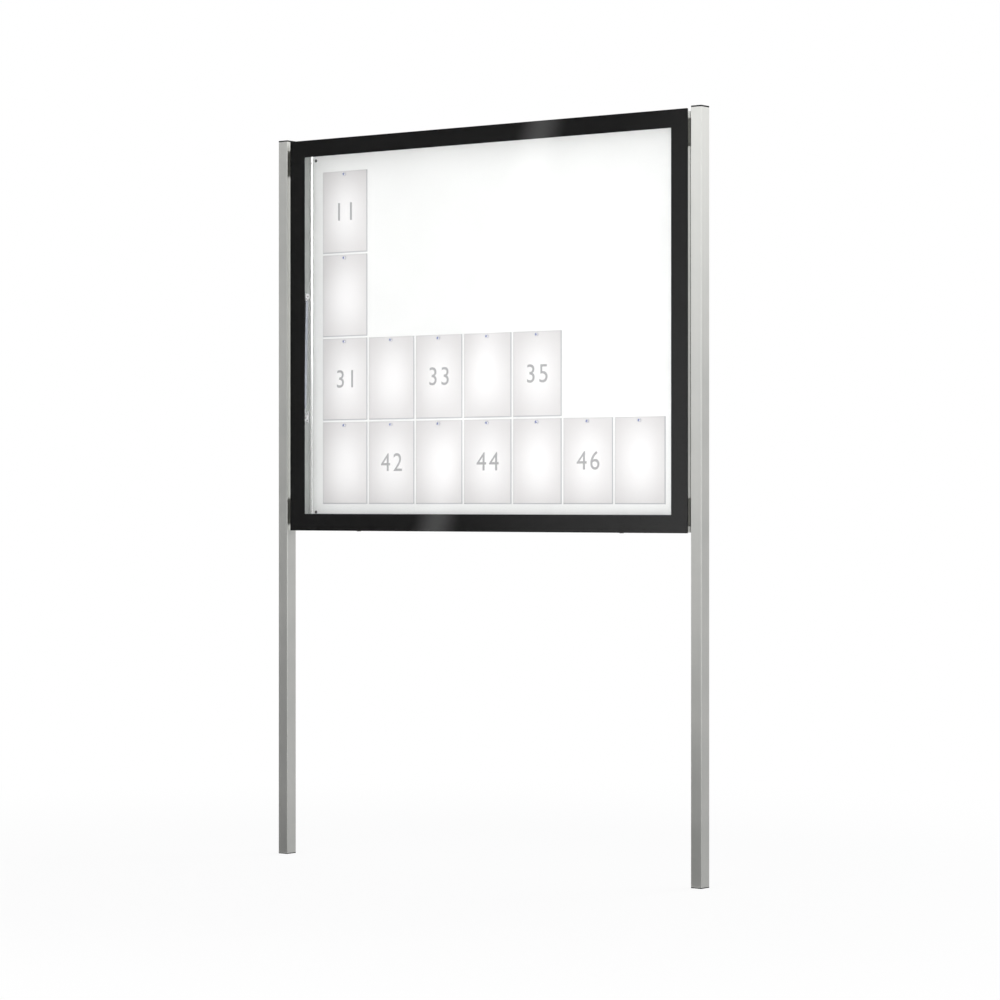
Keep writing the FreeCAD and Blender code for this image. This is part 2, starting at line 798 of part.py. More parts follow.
def case_bracket_screw_seats():
    y = case_bracket_base_y() - case_bracket_screw_inset
    return [vec(case_bracket_face_x, y, spring_low_z + step * case_bracket_screw_spacing)
            for step in (-0.5, 0.5)]


def case_bracket_edge(up):
    """The sloping edge above or below, from beside the pivot to the base corner."""
    start = vec(case_bracket_face_x, spring_low_y, spring_low_z + up * case_bracket_tip_radius)
    end = vec(case_bracket_face_x, case_bracket_base_y(),
              spring_low_z + up * case_bracket_base_height / 2)
    return start, end


def case_bracket():
    """A triangular gusset on the case wall with two turned-in edges."""
    upper_start, upper_end = case_bracket_edge(1)
    lower_start, lower_end = case_bracket_edge(-1)
    thickness = vec(case_bracket_thickness, 0, 0)
    web = plate([upper_start, upper_end, lower_end, lower_start], thickness)
    tip = rod(case_bracket_tip_radius, vec(case_bracket_face_x, spring_low_y, spring_low_z),
              vec(case_inner_x, spring_low_y, spring_low_z))
    body = web.fuse(tip)
    for up in (1, -1):
        start, end = case_bracket_edge(up)
        along = end.sub(start).normalize()
        start = start.add(vec(along).multiply(case_bracket_flange_start))
        inwards = vec(0, up * along.z, -up * along.y).multiply(case_bracket_flange_thickness)
        strip = plate([start, end, end.add(inwards), start.add(inwards)],
                      vec(-case_bracket_flange, 0, 0))
        body = body.fuse(strip)
    body = body.removeSplitter()
    body = body.cut(rod(spring_stud_spigot + screw_clearance,
                        vec(case_bracket_face_x - case_bracket_flange, spring_low_y, spring_low_z),
                        vec(case_inner_x + case_wall, spring_low_y, spring_low_z)))
    for seat in case_bracket_screw_seats():
        body = body.cut(rod(bracket_screw_radius + screw_clearance, seat,
                            seat.add(vec(2 * case_bracket_thickness, 0, 0))))
    return both_sides("spring_case_bracket", body)


def case_studs():
    """Headed pins on which the rod eyes turn, riveted into the case brackets."""
    reach = spring_low_eye_thickness / 2 + stud_head_gap
    inner = spring_x - reach
    y, z = spring_low_y, spring_low_z
    pin = rod(spring_stud_radius, vec(inner, y, z), vec(case_bracket_face_x, y, z))
    head = rod(spring_stud_head_radius, vec(inner - spring_stud_head, y, z), vec(inner, y, z))
    shoulder = rod(spring_stud_head_radius, vec(spring_x + reach, y, z),
                   vec(case_bracket_face_x, y, z))
    spigot = rod(spring_stud_spigot, vec(case_bracket_face_x, y, z), vec(case_inner_x, y, z))
    stud = pin.fuse([head, shoulder, spigot]).removeSplitter()
    return {"spring_case_studs": Part.makeCompound([stud, mirrored(stud)])}


def case_bracket_screws():
    screws = [pan_screw(seat, vec(1, 0, 0)) for seat in case_bracket_screw_seats()]
    return {"spring_case_screws": Part.makeCompound(screws + [mirrored(s) for s in screws])}


def door_bracket_base_x():
    return door_inner_x - door_bracket_base_thickness


def door_bracket_y_range():
    low = door_frame_front_y + door_bracket_inset
    return (low, door_back_y - door_bracket_clearance)


def door_bracket_screw_seats():
    low, high = door_bracket_y_range()
    y = (low + high - door_bracket_thickness) / 2
    return [vec(door_bracket_base_x(), y, spring_high_z + step * door_bracket_screw_spacing)
            for step in (-0.5, 0.5)]


def door_bracket():
    """A cranked bracket on the door stile, reaching back into the case to the upper eye."""
    low, high = door_bracket_y_range()
    half = door_bracket_base_height / 2
    z_eye = (spring_high_z - door_bracket_eye_radius, spring_high_z + door_bracket_eye_radius)
    tongue_x = (door_bracket_face_x, door_bracket_face_x + door_bracket_thickness)
    base = box((door_bracket_base_x(), door_inner_x), (low, high),
               (spring_high_z - half, spring_high_z + half))
    crank = box((tongue_x[0], door_inner_x), (high - door_bracket_thickness, high), z_eye)
    tongue = box(tongue_x, (high - door_bracket_thickness, spring_high_y), z_eye)
    disc = rod(door_bracket_eye_radius, vec(tongue_x[0], spring_high_y, spring_high_z),
               vec(tongue_x[1], spring_high_y, spring_high_z))
    body = base.fuse([crank, tongue, disc]).removeSplitter()
    body = body.cut(rod(spring_stud_spigot + screw_clearance,
                        vec(tongue_x[0], spring_high_y, spring_high_z),
                        vec(tongue_x[1], spring_high_y, spring_high_z)))
    for seat in door_bracket_screw_seats():
        body = body.cut(rod(bracket_screw_radius + screw_clearance, seat,
                            seat.add(vec(door_bracket_base_thickness, 0, 0))))
    return both_sides("spring_door_bracket", body)


def door_studs():
    """Short studs on the door brackets, which face the upper eyes across the open pivot."""
    y, z = spring_high_y, spring_high_z
    inner = spring_x + spring_tube_radius + open_pivot_gap
    pin = rod(spring_high_eye_bore - running_clearance, vec(inner, y, z),
              vec(door_bracket_face_x, y, z))
    spigot = rod(spring_stud_spigot, vec(door_bracket_face_x, y, z),
                 vec(door_bracket_face_x + door_bracket_thickness, y, z))
    stud = pin.fuse(spigot).removeSplitter()
    return {"spring_door_studs": Part.makeCompound([stud, mirrored(stud)])}


def door_bracket_screws():
    screws = [pan_screw(seat, vec(1, 0, 0)) for seat in door_bracket_screw_seats()]
    return {"spring_door_screws": Part.makeCompound(screws + [mirrored(s) for s in screws])}


def lock_name(x):
    return "right" if x > 0 else "left"


def lock_housing(x):
    """The threaded lock body with its rim under the bottom rail."""
    rim_bottom = case_bottom - lock_rim_height
    body_top = case_bottom + lock_body_length
    rim = rod(lock_rim_radius, vec(x, lock_y, rim_bottom), vec(x, lock_y, case_bottom))
    edge = [e for e in rim.Edges if abs(e.BoundBox.ZMax - rim_bottom) < lock_plug_recess]
    rim = rim.makeChamfer(lock_rim_height / 4, edge)
    body = rod(lock_body_radius, vec(x, lock_y, case_bottom), vec(x, lock_y, body_top))
    bore = rod(lock_plug_radius + running_clearance, vec(x, lock_y, rim_bottom - lock_rim_height),
               vec(x, lock_y, body_top + lock_rim_height))
    return rim.fuse(body).removeSplitter().cut(bore)


def lock_plug(x):
    """The turning barrel, with a key slot below and a square above for the cam."""
    bottom = case_bottom - lock_rim_height + lock_plug_recess
    body_top = case_bottom + lock_body_length
    barrel = rod(lock_plug_radius, vec(x, lock_y, bottom), vec(x, lock_y, body_top))
    half = lock_plug_square / 2
    square = box((x - half, x + half), (lock_y - half, lock_y + half), (body_top, cam_top))
    slot = box((x - key_slot_length / 2, x + key_slot_length / 2),
               (lock_y - key_slot_width / 2, lock_y + key_slot_width / 2),
               (bottom, bottom + key_slot_depth))
    thread = rod(cam_screw_radius + screw_clearance, vec(x, lock_y, cam_top - cam_screw_length),
                 vec(x, lock_y, cam_top))
    return barrel.fuse(square).removeSplitter().cut(slot).cut(thread)


def lock_cam(x):
    """A flat arm with a hook at its tip, drawn unlocked, along the rail."""
    hub = rod(cam_hub_radius, vec(x, lock_y, cam_bottom), vec(x, lock_y, cam_top))
    arm = box((x, x + cam_reach), (lock_y - cam_arm_half_width, lock_y + cam_arm_half_width),
              (cam_bottom, cam_top))
    taper = cam_arm_half_width - cam_hook_half_width
    for side in (1, -1):
        edge = lock_y + side * cam_arm_half_width
        corner = [vec(x + cam_reach, edge, cam_bottom),
                  vec(x + cam_reach, edge - side * taper, cam_bottom),
                  vec(x + cam_reach - cam_hook_radial, edge - side * taper, cam_bottom),
                  vec(x + cam_reach - cam_hook_radial - taper, edge, cam_bottom)]
        arm = arm.cut(plate(corner, vec(0, 0, cam_thickness)))
    hook = box((x + cam_reach - cam_hook_radial, x + cam_reach),
               (lock_y - cam_hook_half_width, lock_y + cam_hook_half_width),
               (cam_bottom - cam_hook_drop, cam_bottom))
    half = lock_plug_square / 2 + screw_clearance
    hole = box((x - half, x + half), (lock_y - half, lock_y + half), (cam_bottom, cam_top))
    return hub.fuse([arm, hook]).removeSplitter().cut(hole)


def lock_cam_screw(x):
    head = rod(cam_screw_head_radius, vec(x, lock_y, cam_top),
               vec(x, lock_y, cam_top + cam_screw_head))
    shank = rod(cam_screw_radius, vec(x, lock_y, cam_top - cam_screw_length),
                vec(x, lock_y, cam_top))
    return head.fuse(shank).removeSplitter()


def lock_nut(x):
    reach = lock_nut_flats / math.sqrt(3)
    corners = [vec(x + reach * math.cos(math.radians(60 * number)),
                   lock_y + reach * math.sin(math.radians(60 * number)),
                   case_bottom + case_wall) for number in range(6)]
    hexagon = plate(corners, vec(0, 0, lock_nut_height))
    return hexagon.cut(rod(lock_body_radius + screw_clearance, vec(x, lock_y, case_bottom),
                           vec(x, lock_y, case_bottom + 2 * lock_body_length)))


def locks():
    pieces = {}
    for x in (-lock_x, lock_x):
        name = lock_name(x)
        pieces["lock_housing_" + name] = lock_housing(x)
        pieces["lock_plug_" + name] = lock_plug(x)
        pieces["lock_cam_" + name] = lock_cam(x)
        pieces["lock_cam_screw_" + name] = lock_cam_screw(x)
    pieces["lock_nuts"] = Part.makeCompound([lock_nut(x) for x in (-lock_x, lock_x)])
    return pieces


def sheet_corner(row, column):
    """The lower left corner of a notice; rows count from the top."""
    x = sheet_left_margin - case_inner_x + column * (sheet_width + sheet_column_gap)
    top = case_top - case_frame_width - sheet_top_margin
    z = top - sheet_height - row * (sheet_height + sheet_row_gap)
    return x, z


def sheet_places():
    """How many columns and rows of notices the board has room for."""
    wide = 2 * case_inner_x - sheet_left_margin
    tall = case_top - case_bottom - 2 * case_frame_width - sheet_top_margin
    return (int(wide // (sheet_width + sheet_column_gap)),
            int(tall // (sheet_height + sheet_row_gap)))


def notices():
    pieces = {}
    magnets = []
    sheet_front_y = panel_front_y - sheet_thickness
    columns, rows = sheet_places()
    for row, count in enumerate(sheets_in_row[:rows]):
        sheets = []
        for column in range(min(count, columns)):
            x, z = sheet_corner(row, column)
            sheets.append(box((x, x + sheet_width), (sheet_front_y, panel_front_y),
                              (z, z + sheet_height)))
            middle_x = x + sheet_width / 2
            magnet_z = z + sheet_height - magnet_inset
            outer = vec(middle_x, sheet_front_y - magnet_height, magnet_z)
            magnets.append(rod(magnet_radius, outer, vec(middle_x, sheet_front_y, magnet_z)))
        pieces["notice_sheets_row_" + str(row + 1)] = Part.makeCompound(sheets)
    pieces["notice_magnets"] = Part.makeCompound(magnets)
    return pieces


def build():
    pieces = {}
    for make in (posts, post_caps, post_feet, post_spacers, post_nut_plates, post_bolts,
                 access_plugs, case_stiles, case_top_rail, case_bottom_rail, case_keys, panels,
                 grommets,
                 door_seal, door_glass, door_print, glass_bond, door_frame, door_keys, hinge,
                 spring_cylinder, spring_rod, spring_piston, case_bracket, case_studs,
                 case_bracket_screws, door_bracket, door_studs, door_bracket_screws,
                 locks, notices):
        pieces.update(make())
    os.makedirs("parts", exist_ok=True)
    for name, shape in pieces.items():
        shape.exportStep("parts/" + name + ".step")
    print(len(pieces), "pieces; hinge axis at y", round(hinge_y, 3), "z", round(hinge_z, 3))
    print("spring length", round(spring_length, 3), "lean", round(spring_tilt, 3))


build()
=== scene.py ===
import json
import math

import bmesh
import bpy
import numpy as np
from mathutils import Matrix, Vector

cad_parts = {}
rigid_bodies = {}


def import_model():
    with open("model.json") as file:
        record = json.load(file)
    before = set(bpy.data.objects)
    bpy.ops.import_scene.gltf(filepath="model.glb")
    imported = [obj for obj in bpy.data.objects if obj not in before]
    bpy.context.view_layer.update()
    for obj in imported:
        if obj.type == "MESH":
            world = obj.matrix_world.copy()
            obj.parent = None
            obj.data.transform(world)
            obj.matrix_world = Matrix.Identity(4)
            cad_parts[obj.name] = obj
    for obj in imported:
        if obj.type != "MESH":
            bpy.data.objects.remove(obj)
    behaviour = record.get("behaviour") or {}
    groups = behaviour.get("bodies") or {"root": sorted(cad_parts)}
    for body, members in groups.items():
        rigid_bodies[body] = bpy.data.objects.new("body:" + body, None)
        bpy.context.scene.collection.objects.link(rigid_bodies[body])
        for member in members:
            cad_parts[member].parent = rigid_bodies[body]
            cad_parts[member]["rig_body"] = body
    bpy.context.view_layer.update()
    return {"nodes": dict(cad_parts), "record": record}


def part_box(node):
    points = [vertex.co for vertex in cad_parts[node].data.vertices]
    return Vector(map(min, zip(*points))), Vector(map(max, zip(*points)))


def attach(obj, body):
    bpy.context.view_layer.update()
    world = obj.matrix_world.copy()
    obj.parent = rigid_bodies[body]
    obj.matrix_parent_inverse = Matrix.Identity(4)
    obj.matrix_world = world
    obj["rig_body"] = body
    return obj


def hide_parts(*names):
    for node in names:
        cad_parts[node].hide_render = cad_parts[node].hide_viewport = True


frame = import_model()
nodes = frame["nodes"]
slots = {entry["node"]: entry["material_slot"] for entry in frame["record"]["subparts"]}
mm = 0.001  # one millimetre in metres; pieces are given in millimetres, camera and studio in metres
mergeDistance = 2e-6  # in metres, for corners that neighbouring faces share
leastRadius = 0.01  # in millimetres, of corners that look square
print("frame loaded:", len(nodes), "nodes")

# Camera, fitted to the posts, the glass and the sheets: metres, degrees, and millimetres for lens and sensor
camera = {"place": (7.2215, -9.3364, 1.291), "turn": 37.5, "lens": 121.54, "sensor": 36.0, "reach": 200}

cameraData = bpy.data.cameras.new("camera")
cameraData.lens = camera["lens"]
cameraData.sensor_width = camera["sensor"]
cameraData.clip_end = camera["reach"]
cameraObject = bpy.data.objects.new("camera", cameraData)
cameraObject.location = camera["place"]
cameraObject.rotation_euler = (math.pi / 2, 0, math.radians(camera["turn"]))
bpy.context.scene.collection.objects.link(cameraObject)
bpy.context.scene.camera = cameraObject
bpy.context.scene.view_settings.view_transform = "Standard"
print("camera placed")


def toLinear(code):
    # sRGB hex to linear: the lower part is a straight line, the rest a 2.4 power
    values = [int(code[i:i + 2], 16) / 255 for i in (1, 3, 5)]
    return tuple(v / 12.92 if v <= 0.04045 else ((v + 0.055) / 1.055) ** 2.4 for v in values) + (1.0,)


def addNode(tree, kind, settings=None, links=None):
    # settings go to the node itself or to sockets by name or number; links are input: output socket
    node = tree.nodes.new(kind)
    for key, value in (settings or {}).items():
        if isinstance(key, str) and hasattr(node, key):
            setattr(node, key, value)
        else:
            node.inputs[key].default_value = value
    for key, socket in (links or {}).items():
        tree.links.new(socket, node.inputs[key])
    return node


def newMaterial(name, sockets=None):
    # a material and its output, with one shader when its sockets' values are given
    material = bpy.data.materials.new(name)
    material.use_nodes = True
    tree = material.node_tree
    tree.nodes.clear()
    if sockets is None:
        return material, tree, None, addNode(tree, "ShaderNodeOutputMaterial")
    surface = addNode(tree, "ShaderNodeBsdfPrincipled", sockets)
    output = addNode(tree, "ShaderNodeOutputMaterial", links={"Surface": surface.outputs[0]})
    return material, tree, surface, output


# Every finish: detail of both noises, their shares in the blend, and the part of the blend that is used
pattern = {"fineDetail": 3.0, "fineShare": 0.3, "broadDetail": 5.0, "broadRoughness": 0.6, "broadShare": 0.7,
           "colourSpan": (0.35, 0.65), "glossSpan": (0.3, 0.7)}


def makeFinish(name, dark, light, rough, grain, depth, stretch=(1, 1, 1), clouds=90.0, **sockets):
    # fine grain turns to bump and gloss, broad clouds to colour; grain, depth and clouds in millimetres
    values = {key.replace("_", " "): value for key, value in sockets.items()}
    material, tree, surface, output = newMaterial(name, values)
    place = addNode(tree, "ShaderNodeTexCoord").outputs["Object"]
    fineScale = tuple(1000 / (grain * share) for share in stretch)
    fineMap = addNode(tree, "ShaderNodeMapping", {"Scale": fineScale}, {"Vector": place})
    fine = addNode(tree, "ShaderNodeTexNoise", {"Scale": 1.0, "Detail": pattern["fineDetail"]},
                   {"Vector": fineMap.outputs[0]})
    broadMap = addNode(tree, "ShaderNodeMapping", {"Scale": (1000 / clouds,) * 3}, {"Vector": place})
    broad = addNode(tree, "ShaderNodeTexNoise", {"Scale": 1.0, "Detail": pattern["broadDetail"],
                                                 "Roughness": pattern["broadRoughness"]},
                    {"Vector": broadMap.outputs[0]})
    part = addNode(tree, "ShaderNodeMath", {"operation": "MULTIPLY", 1: pattern["fineShare"]},
                   {0: fine.outputs[0]})
    blend = addNode(tree, "ShaderNodeMath", {"operation": "MULTIPLY_ADD", 1: pattern["broadShare"]},
                    {0: broad.outputs[0], 2: part.outputs[0]})
    low, high = pattern["colourSpan"]
    ramp = addNode(tree, "ShaderNodeMapRange", {"From Min": low, "From Max": high},
                   {"Value": blend.outputs[0]})
    colour = addNode(tree, "ShaderNodeMix", {"data_type": "RGBA", 6: toLinear(dark), 7: toLinear(light)},
                     {0: ramp.outputs[0]})
    low, high = pattern["glossSpan"]
    gloss = addNode(tree, "ShaderNodeMapRange", {"From Min": low, "From Max": high, "To Min": rough[0],
                                                 "To Max": rough[1]}, {"Value": blend.outputs[0]})
    bump = addNode(tree, "ShaderNodeBump", {"Distance": depth * mm, "Strength": 1.0},
                   {"Height": fine.outputs[0]})
    for socket, source in (("Base Color", colour.outputs[2]), ("Roughness", gloss.outputs[0]),
                           ("Normal", bump.outputs[0])):
        tree.links.new(source, surface.inputs[socket])
    return material


# Glass: colour of the pane, and the index of refraction of soda lime glass
floatGlass = {"tint": "#fefefe", "ior": 1.52}


def makeGlass():
    # toughened float glass, polished and almost colourless: sharp reflections over a clear view;
    # shadow rays pass it, so that the lamps light the case's inside
    tint = toLinear(floatGlass["tint"])
    material, tree, surface, output = newMaterial("floatGlass", {
        "Base Color": tint, "Roughness": 0.0, "IOR": floatGlass["ior"], "Transmission Weight": 1.0})
    through = addNode(tree, "ShaderNodeBsdfTransparent", {"Color": tint})
    path = addNode(tree, "ShaderNodeLightPath")
    mix = addNode(tree, "ShaderNodeMixShader", links={
        0: path.outputs["Is Shadow Ray"], 1: surface.outputs[0], 2: through.outputs[0]})
    tree.links.new(mix.outputs[0], output.inputs["Surface"])
    return material


# Paper: colours (line is the colour of the painted shadow), reach of the fade in sheet widths, fibres per
# metre, and the painted shadow lines along the edges as the axis of the sheet's own map, where the line
# starts, where it is full, and its share
paper = {"middle": "#f6f5f5", "outer": "#dbd9d9", "line": "#bcbcbf", "fade": (0.03, 0.69),
         "fibres": (600, 1600, 600), "fibreDepth": 0.01,
         "lines": ((0, 0.976, 0.984, 1.0), (0, 0.024, 0.016, 0.2), (1, 0.017, 0.011, 1.0),
                   (1, 0.983, 0.989, 0.2))}


def makePaper():
    # coated paper printed with a soft grey that fades to white at the middle of each sheet's own map
    material, tree, surface, output = newMaterial("coatedPaperWithPaintedShadow", {
        "Roughness": 0.55, "Specular IOR Level": 0.3})
    sheetMap = addNode(tree, "ShaderNodeUVMap", {"uv_map": "sheet"})
    centred = addNode(tree, "ShaderNodeVectorMath", {"operation": "SUBTRACT", 1: (0.5, 0.5, 0.0)},
                      {0: sheetMap.outputs[0]})
    reach = addNode(tree, "ShaderNodeVectorMath", {"operation": "LENGTH"}, {0: centred.outputs[0]})
    start, end = paper["fade"]
    ramp = addNode(tree, "ShaderNodeMapRange", {"interpolation_type": "SMOOTHSTEP", "From Min": start,
                                                "From Max": end}, {"Value": reach.outputs["Value"]})
    middle = addNode(tree, "ShaderNodeMix", {"data_type": "RGBA", 6: toLinear(paper["middle"]),
                                             7: toLinear(paper["outer"])}, {0: ramp.outputs[0]})
    # painted shadow: a thin dark line along the edges, full at the right and at the bottom, faint at the left
    # and top
    axes = addNode(tree, "ShaderNodeSeparateXYZ", links={0: sheetMap.outputs[0]})
    line = None
    for axis, start, end, share in paper["lines"]:
        side = addNode(tree, "ShaderNodeMapRange", {"From Min": start, "From Max": end, "To Max": share},
                       {"Value": axes.outputs[axis]}).outputs[0]
        line = side if line is None else addNode(tree, "ShaderNodeMath", {"operation": "MAXIMUM"},
                                                 {0: line, 1: side}).outputs[0]
    # painted shadow: the edge lines darken the printed paper towards its edges
    colour = addNode(tree, "ShaderNodeMix", {"data_type": "RGBA", 7: toLinear(paper["line"])},
                     {0: line, 6: middle.outputs[2]})
    place = addNode(tree, "ShaderNodeTexCoord").outputs["Object"]
    fibreMap = addNode(tree, "ShaderNodeMapping", {"Scale": paper["fibres"]}, {"Vector": place})
    fibres = addNode(tree, "ShaderNodeTexNoise", {"Scale": 1.0, "Detail": 4.0},
                     {"Vector": fibreMap.outputs[0]})
    bump = addNode(tree, "ShaderNodeBump", {"Distance": paper["fibreDepth"] * mm},
                   {"Height": fibres.outputs[0]})
    tree.links.new(colour.outputs[2], surface.inputs["Base Color"])
    tree.links.new(bump.outputs[0], surface.inputs["Normal"])
    return material


looks = {
    # extruded, etched and silver anodised: satin grey with faint draw lines along the bar
    "upright": makeFinish("anodisedAluminiumUpright", "#e8e9e5", "#eeeeea", (0.29, 0.36), 1.2, 0.008,
                          (1, 1, 300), 160.0, Metallic=1.0),
    "level": makeFinish("anodisedAluminiumLevel", "#e6e7e4", "#ececea", (0.29, 0.36), 1.2, 0.008,
                        (300, 1, 1), 160.0, Metallic=1.0),
    # the same, brightened before anodising: the slim frames of case and door, and the bead
    "frame": makeFinish("brightAnodisedAluminium", "#f3f4f3", "#f9f9f8", (0.20, 0.26), 1.2, 0.005,
                        (1, 1, 300), 160.0, Metallic=1.0),
    # painted shade: a darker, duller grey on the side walls inside the case, where the stiles' aluminium lies
    # in shade
    "inside": makeFinish("insideWallPaintedShade", "#bcc0bd", "#c5c9c6", (0.42, 0.52), 1.6, 0.012, clouds=120.0),
    # die cast aluminium: dull and slightly pitted
    "keys": makeFinish("dieCastAluminium", "#9a9b9d", "#b4b5b6", (0.45, 0.6), 0.9, 0.05, Metallic=1.0),
    # mill finish rolled sheet: long rolling marks and a cloudy shine
    "rear": makeFinish("rolledAluminiumSheet", "#cbccce", "#d2d3d4", (0.36, 0.41), 1.6, 0.01, (1, 1, 250),
                       240.0, Metallic=1.0),
    # spark eroded nylon: fine even grain, half matt
    "blackPlastic": makeFinish("mouldedBlackNylon", "#0f0f10", "#161617", (0.58, 0.70), 0.7, 0.03,
                               Specular_IOR_Level=0.2),
    "spacer": makeFinish("mouldedGreyNylon", "#6c6c66", "#787872", (0.45, 0.58), 0.7, 0.03),
    "silverPlastic": makeFinish("mouldedSilverNylon", "#a6a8aa", "#b8babc", (0.36, 0.46), 0.6, 0.02),
    # polyester powder coat on steel: orange peel in a soft sheen
    "whiteSteel": makeFinish("whitePowderCoat", "#f2f3f2", "#f6f7f6", (0.40, 0.48), 2.2, 0.02, clouds=220.0),
    "bracket": makeFinish("paleGreyPowderCoat", "#eff0f2", "#f5f6f7", (0.36, 0.46), 1.4, 0.02),
    "glass": makeGlass(),
    # ground and polished edge of the glass, dark where it meets the black border
    "glassEdge": makeFinish("groundGlassEdge", "#0b0d0d", "#121515", (0.22, 0.34), 0.8, 0.006,
                            IOR=floatGlass["ior"]),
    # ceramic ink fired on the glass: dense black, its own shine lost against the glass
    "print": makeFinish("firedCeramicInk", "#242424", "#262626", (0.5, 0.6), 0.5, 0.004,
                        Specular_IOR_Level=0.0),
    # silicone and rubber: dull black, silicone a little wavy
    "sealant": makeFinish("blackSilicone", "#121213", "#1a1a1b", (0.42, 0.56), 4.0, 0.08),
    "rubber": makeFinish("extrudedRubber", "#141415", "#1f1f21", (0.55, 0.7), 0.8, 0.03),
    # zinc plated steel: cool grey crystals, half bright
    "zinc": makeFinish("zincPlatedSteel", "#bfc4ca", "#d6d6d3", (0.24, 0.38), 2.0, 0.01, clouds=14.0,
                       Metallic=1.0),
    # turned stainless steel: even grey with a fine tool pattern
    "stainless": makeFinish("turnedStainlessSteel", "#c0c0c0", "#cfcfce", (0.20, 0.28), 0.8, 0.006,
                            Metallic=1.0),
    # painted pressure tube: cool silver with a light sheen
    "tube": makeFinish("silverPaintedSteel", "#b4b9c4", "#c0c5ce", (0.16, 0.24), 1.0, 0.006, Metallic=1.0),
    # hard chrome: nearly a mirror
    "chrome": makeFinish("hardChromedSteel", "#d6d9dd", "#e2e4e7", (0.05, 0.10), 1.0, 0.001, Metallic=1.0),
    # nickel plated and bare brass: warm grey and yellow, faintly turned
    "nickel": makeFinish("nickelPlatedBrass", "#b6b2a8", "#c8c5bd", (0.14, 0.24), 1.2, 0.004, Metallic=1.0),
    "brass": makeFinish("turnedBrass", "#b3965a", "#c8ad74", (0.18, 0.30), 0.8, 0.006, Metallic=1.0),
    # plated steel shell of the magnets, and the blue lacquer in its dished face
    "magnet": makeFinish("nickelPlatedMagnet", "#e2e3e8", "#ecedf0", (0.16, 0.26), 1.5, 0.004, Metallic=1.0),
    "magnetFace": makeFinish("blueLacquer", "#6f78a8", "#7f88b4", (0.3, 0.4), 1.0, 0.004),
    "paper": makePaper(),
    # toner on paper: flat mid grey
    "ink": makeFinish("greyPrintInk", "#a6a6a7", "#adadae", (0.5, 0.6), 0.6, 0.003),
}
print("materials made:", len(looks))


def roundCorners(corners, radii, steps):
    # each corner of a closed flat line becomes an arc: centre + slerp(tangent point, next tangent point)
    p = np.asarray(corners, float)
    r = np.broadcast_to(np.asarray(radii, float), len(p))[:, None]
    back = np.roll(p, 1, 0) - p
    ahead = np.roll(p, -1, 0) - p
    back /= np.linalg.norm(back, axis=1, keepdims=True)
    ahead /= np.linalg.norm(ahead, axis=1, keepdims=True)
    half = np.arccos(np.clip((back * ahead).sum(1), -1, 1))[:, None] / 2
    middle = back + ahead
    middle /= np.maximum(np.linalg.norm(middle, axis=1, keepdims=True), 1e-9)
    centre = p + middle * r / np.sin(half)
    start = p + back * r / np.tan(half) - centre
    end = p + ahead * r / np.tan(half) - centre
    turn = (math.pi - 2 * half)[:, None, :]
    t = np.linspace(0, 1, steps + 1)[None, :, None]
    arc = (np.sin((1 - t) * turn) * start[:, None] + np.sin(t * turn) * end[:, None])
    arc /= np.maximum(np.sin(turn), 1e-9)
    return (centre[:, None] + arc).reshape(-1, 2)


def gridFaces(rows, columns, looped):
    # quads between neighbouring rows; each row closes on itself, and a looped grid also closes its rows
    row = np.arange(rows if looped else rows - 1)[:, None]
    column = np.arange(columns)[None, :]
    below, above = row * columns, (row + 1) % rows * columns
    after = (column + 1) % columns
    quads = np.stack([below + column, below + after, above + after, above + column], -1)
    return quads.reshape(-1, 4).tolist()


def turned(profile, start, axis, segments, looped=False, wave=None):
    # surface of revolution: start + h(t)*axis + r(t, a)*(cos a * u + sin a * v); wave gives r(t, a)/r(t)
    profile = np.asarray(profile, float)
    axis = np.asarray(axis, float) / np.linalg.norm(axis)
    u = np.cross(axis, (1, 0, 0) if abs(axis[0]) < 0.9 else (0, 1, 0))
    u /= np.linalg.norm(u)
    angle = np.linspace(0, 2 * math.pi, segments, endpoint=False)
    around = np.cos(angle)[:, None] * u + np.sin(angle)[:, None] * np.cross(axis, u)
    radius = profile[:, 0, None] * (np.ones((len(profile), segments)) if wave is None else wave(angle))
    points = np.asarray(start, float) + profile[:, 1, None, None] * axis + radius[:, :, None] * around
    return points.reshape(-1, 3), gridFaces(len(profile), segments, looped)


def layered(layers, plane="xz", looped=False, steps=5):
    # rounded rectangles (low a, high a, low b, high b, radius, depth), skinned in order; ends capped flat
    rings = []
    for a0, a1, b0, b1, radius, depth in layers:
        line = roundCorners([(a0, b0), (a1, b0), (a1, b1), (a0, b1)], radius, steps)
        rings.append(np.column_stack([line, np.full(len(line), depth)]))
    order = {"xz": (0, 2, 1), "xy": (0, 1, 2)}[plane]
    count = len(rings[0])
    faces = gridFaces(len(rings), count, looped)
    if not looped:
        faces += [list(range(count)), list(range(count * (len(rings) - 1), count * len(rings)))]
    return np.concatenate(rings)[:, order], faces


def bevelled(rect, ends, radius, edge, steps, edgeSteps):
    # a slab between two depths whose rims are rounded: inset = e(1 - sin t), depth = end + e(1 - cos t)
    a0, a1, b0, b1 = rect
    t = np.linspace(0, math.pi / 2, edgeSteps + 1)
    rows = [(edge * (1 - math.sin(v)), ends[0] + edge * (1 - math.cos(v))) for v in t]
    rows += [(s, ends[0] + ends[1] - d) for s, d in rows[::-1]]
    return layered([(a0 + s, a1 - s, b0 + s, b1 - s, max(radius - s, leastRadius), d) for s, d in rows],
                   steps=steps)


def makePiece(name, parts, look, body=None, replaced=(), sharp=35):
    # joins parts given in millimetres, merges doubles, turns faces outward and hangs the piece on its body
    points, faces, count = [], [], 0
    for partPoints, partFaces in parts:
        points.append(np.asarray(partPoints) * mm)
        faces += [[i + count for i in face] for face in partFaces]
        count += len(partPoints)
    mesh = bpy.data.meshes.new(name)
    mesh.from_pydata(np.concatenate(points).tolist(), [], faces)
    return finishPiece(name, mesh, look, body, replaced, sharp)


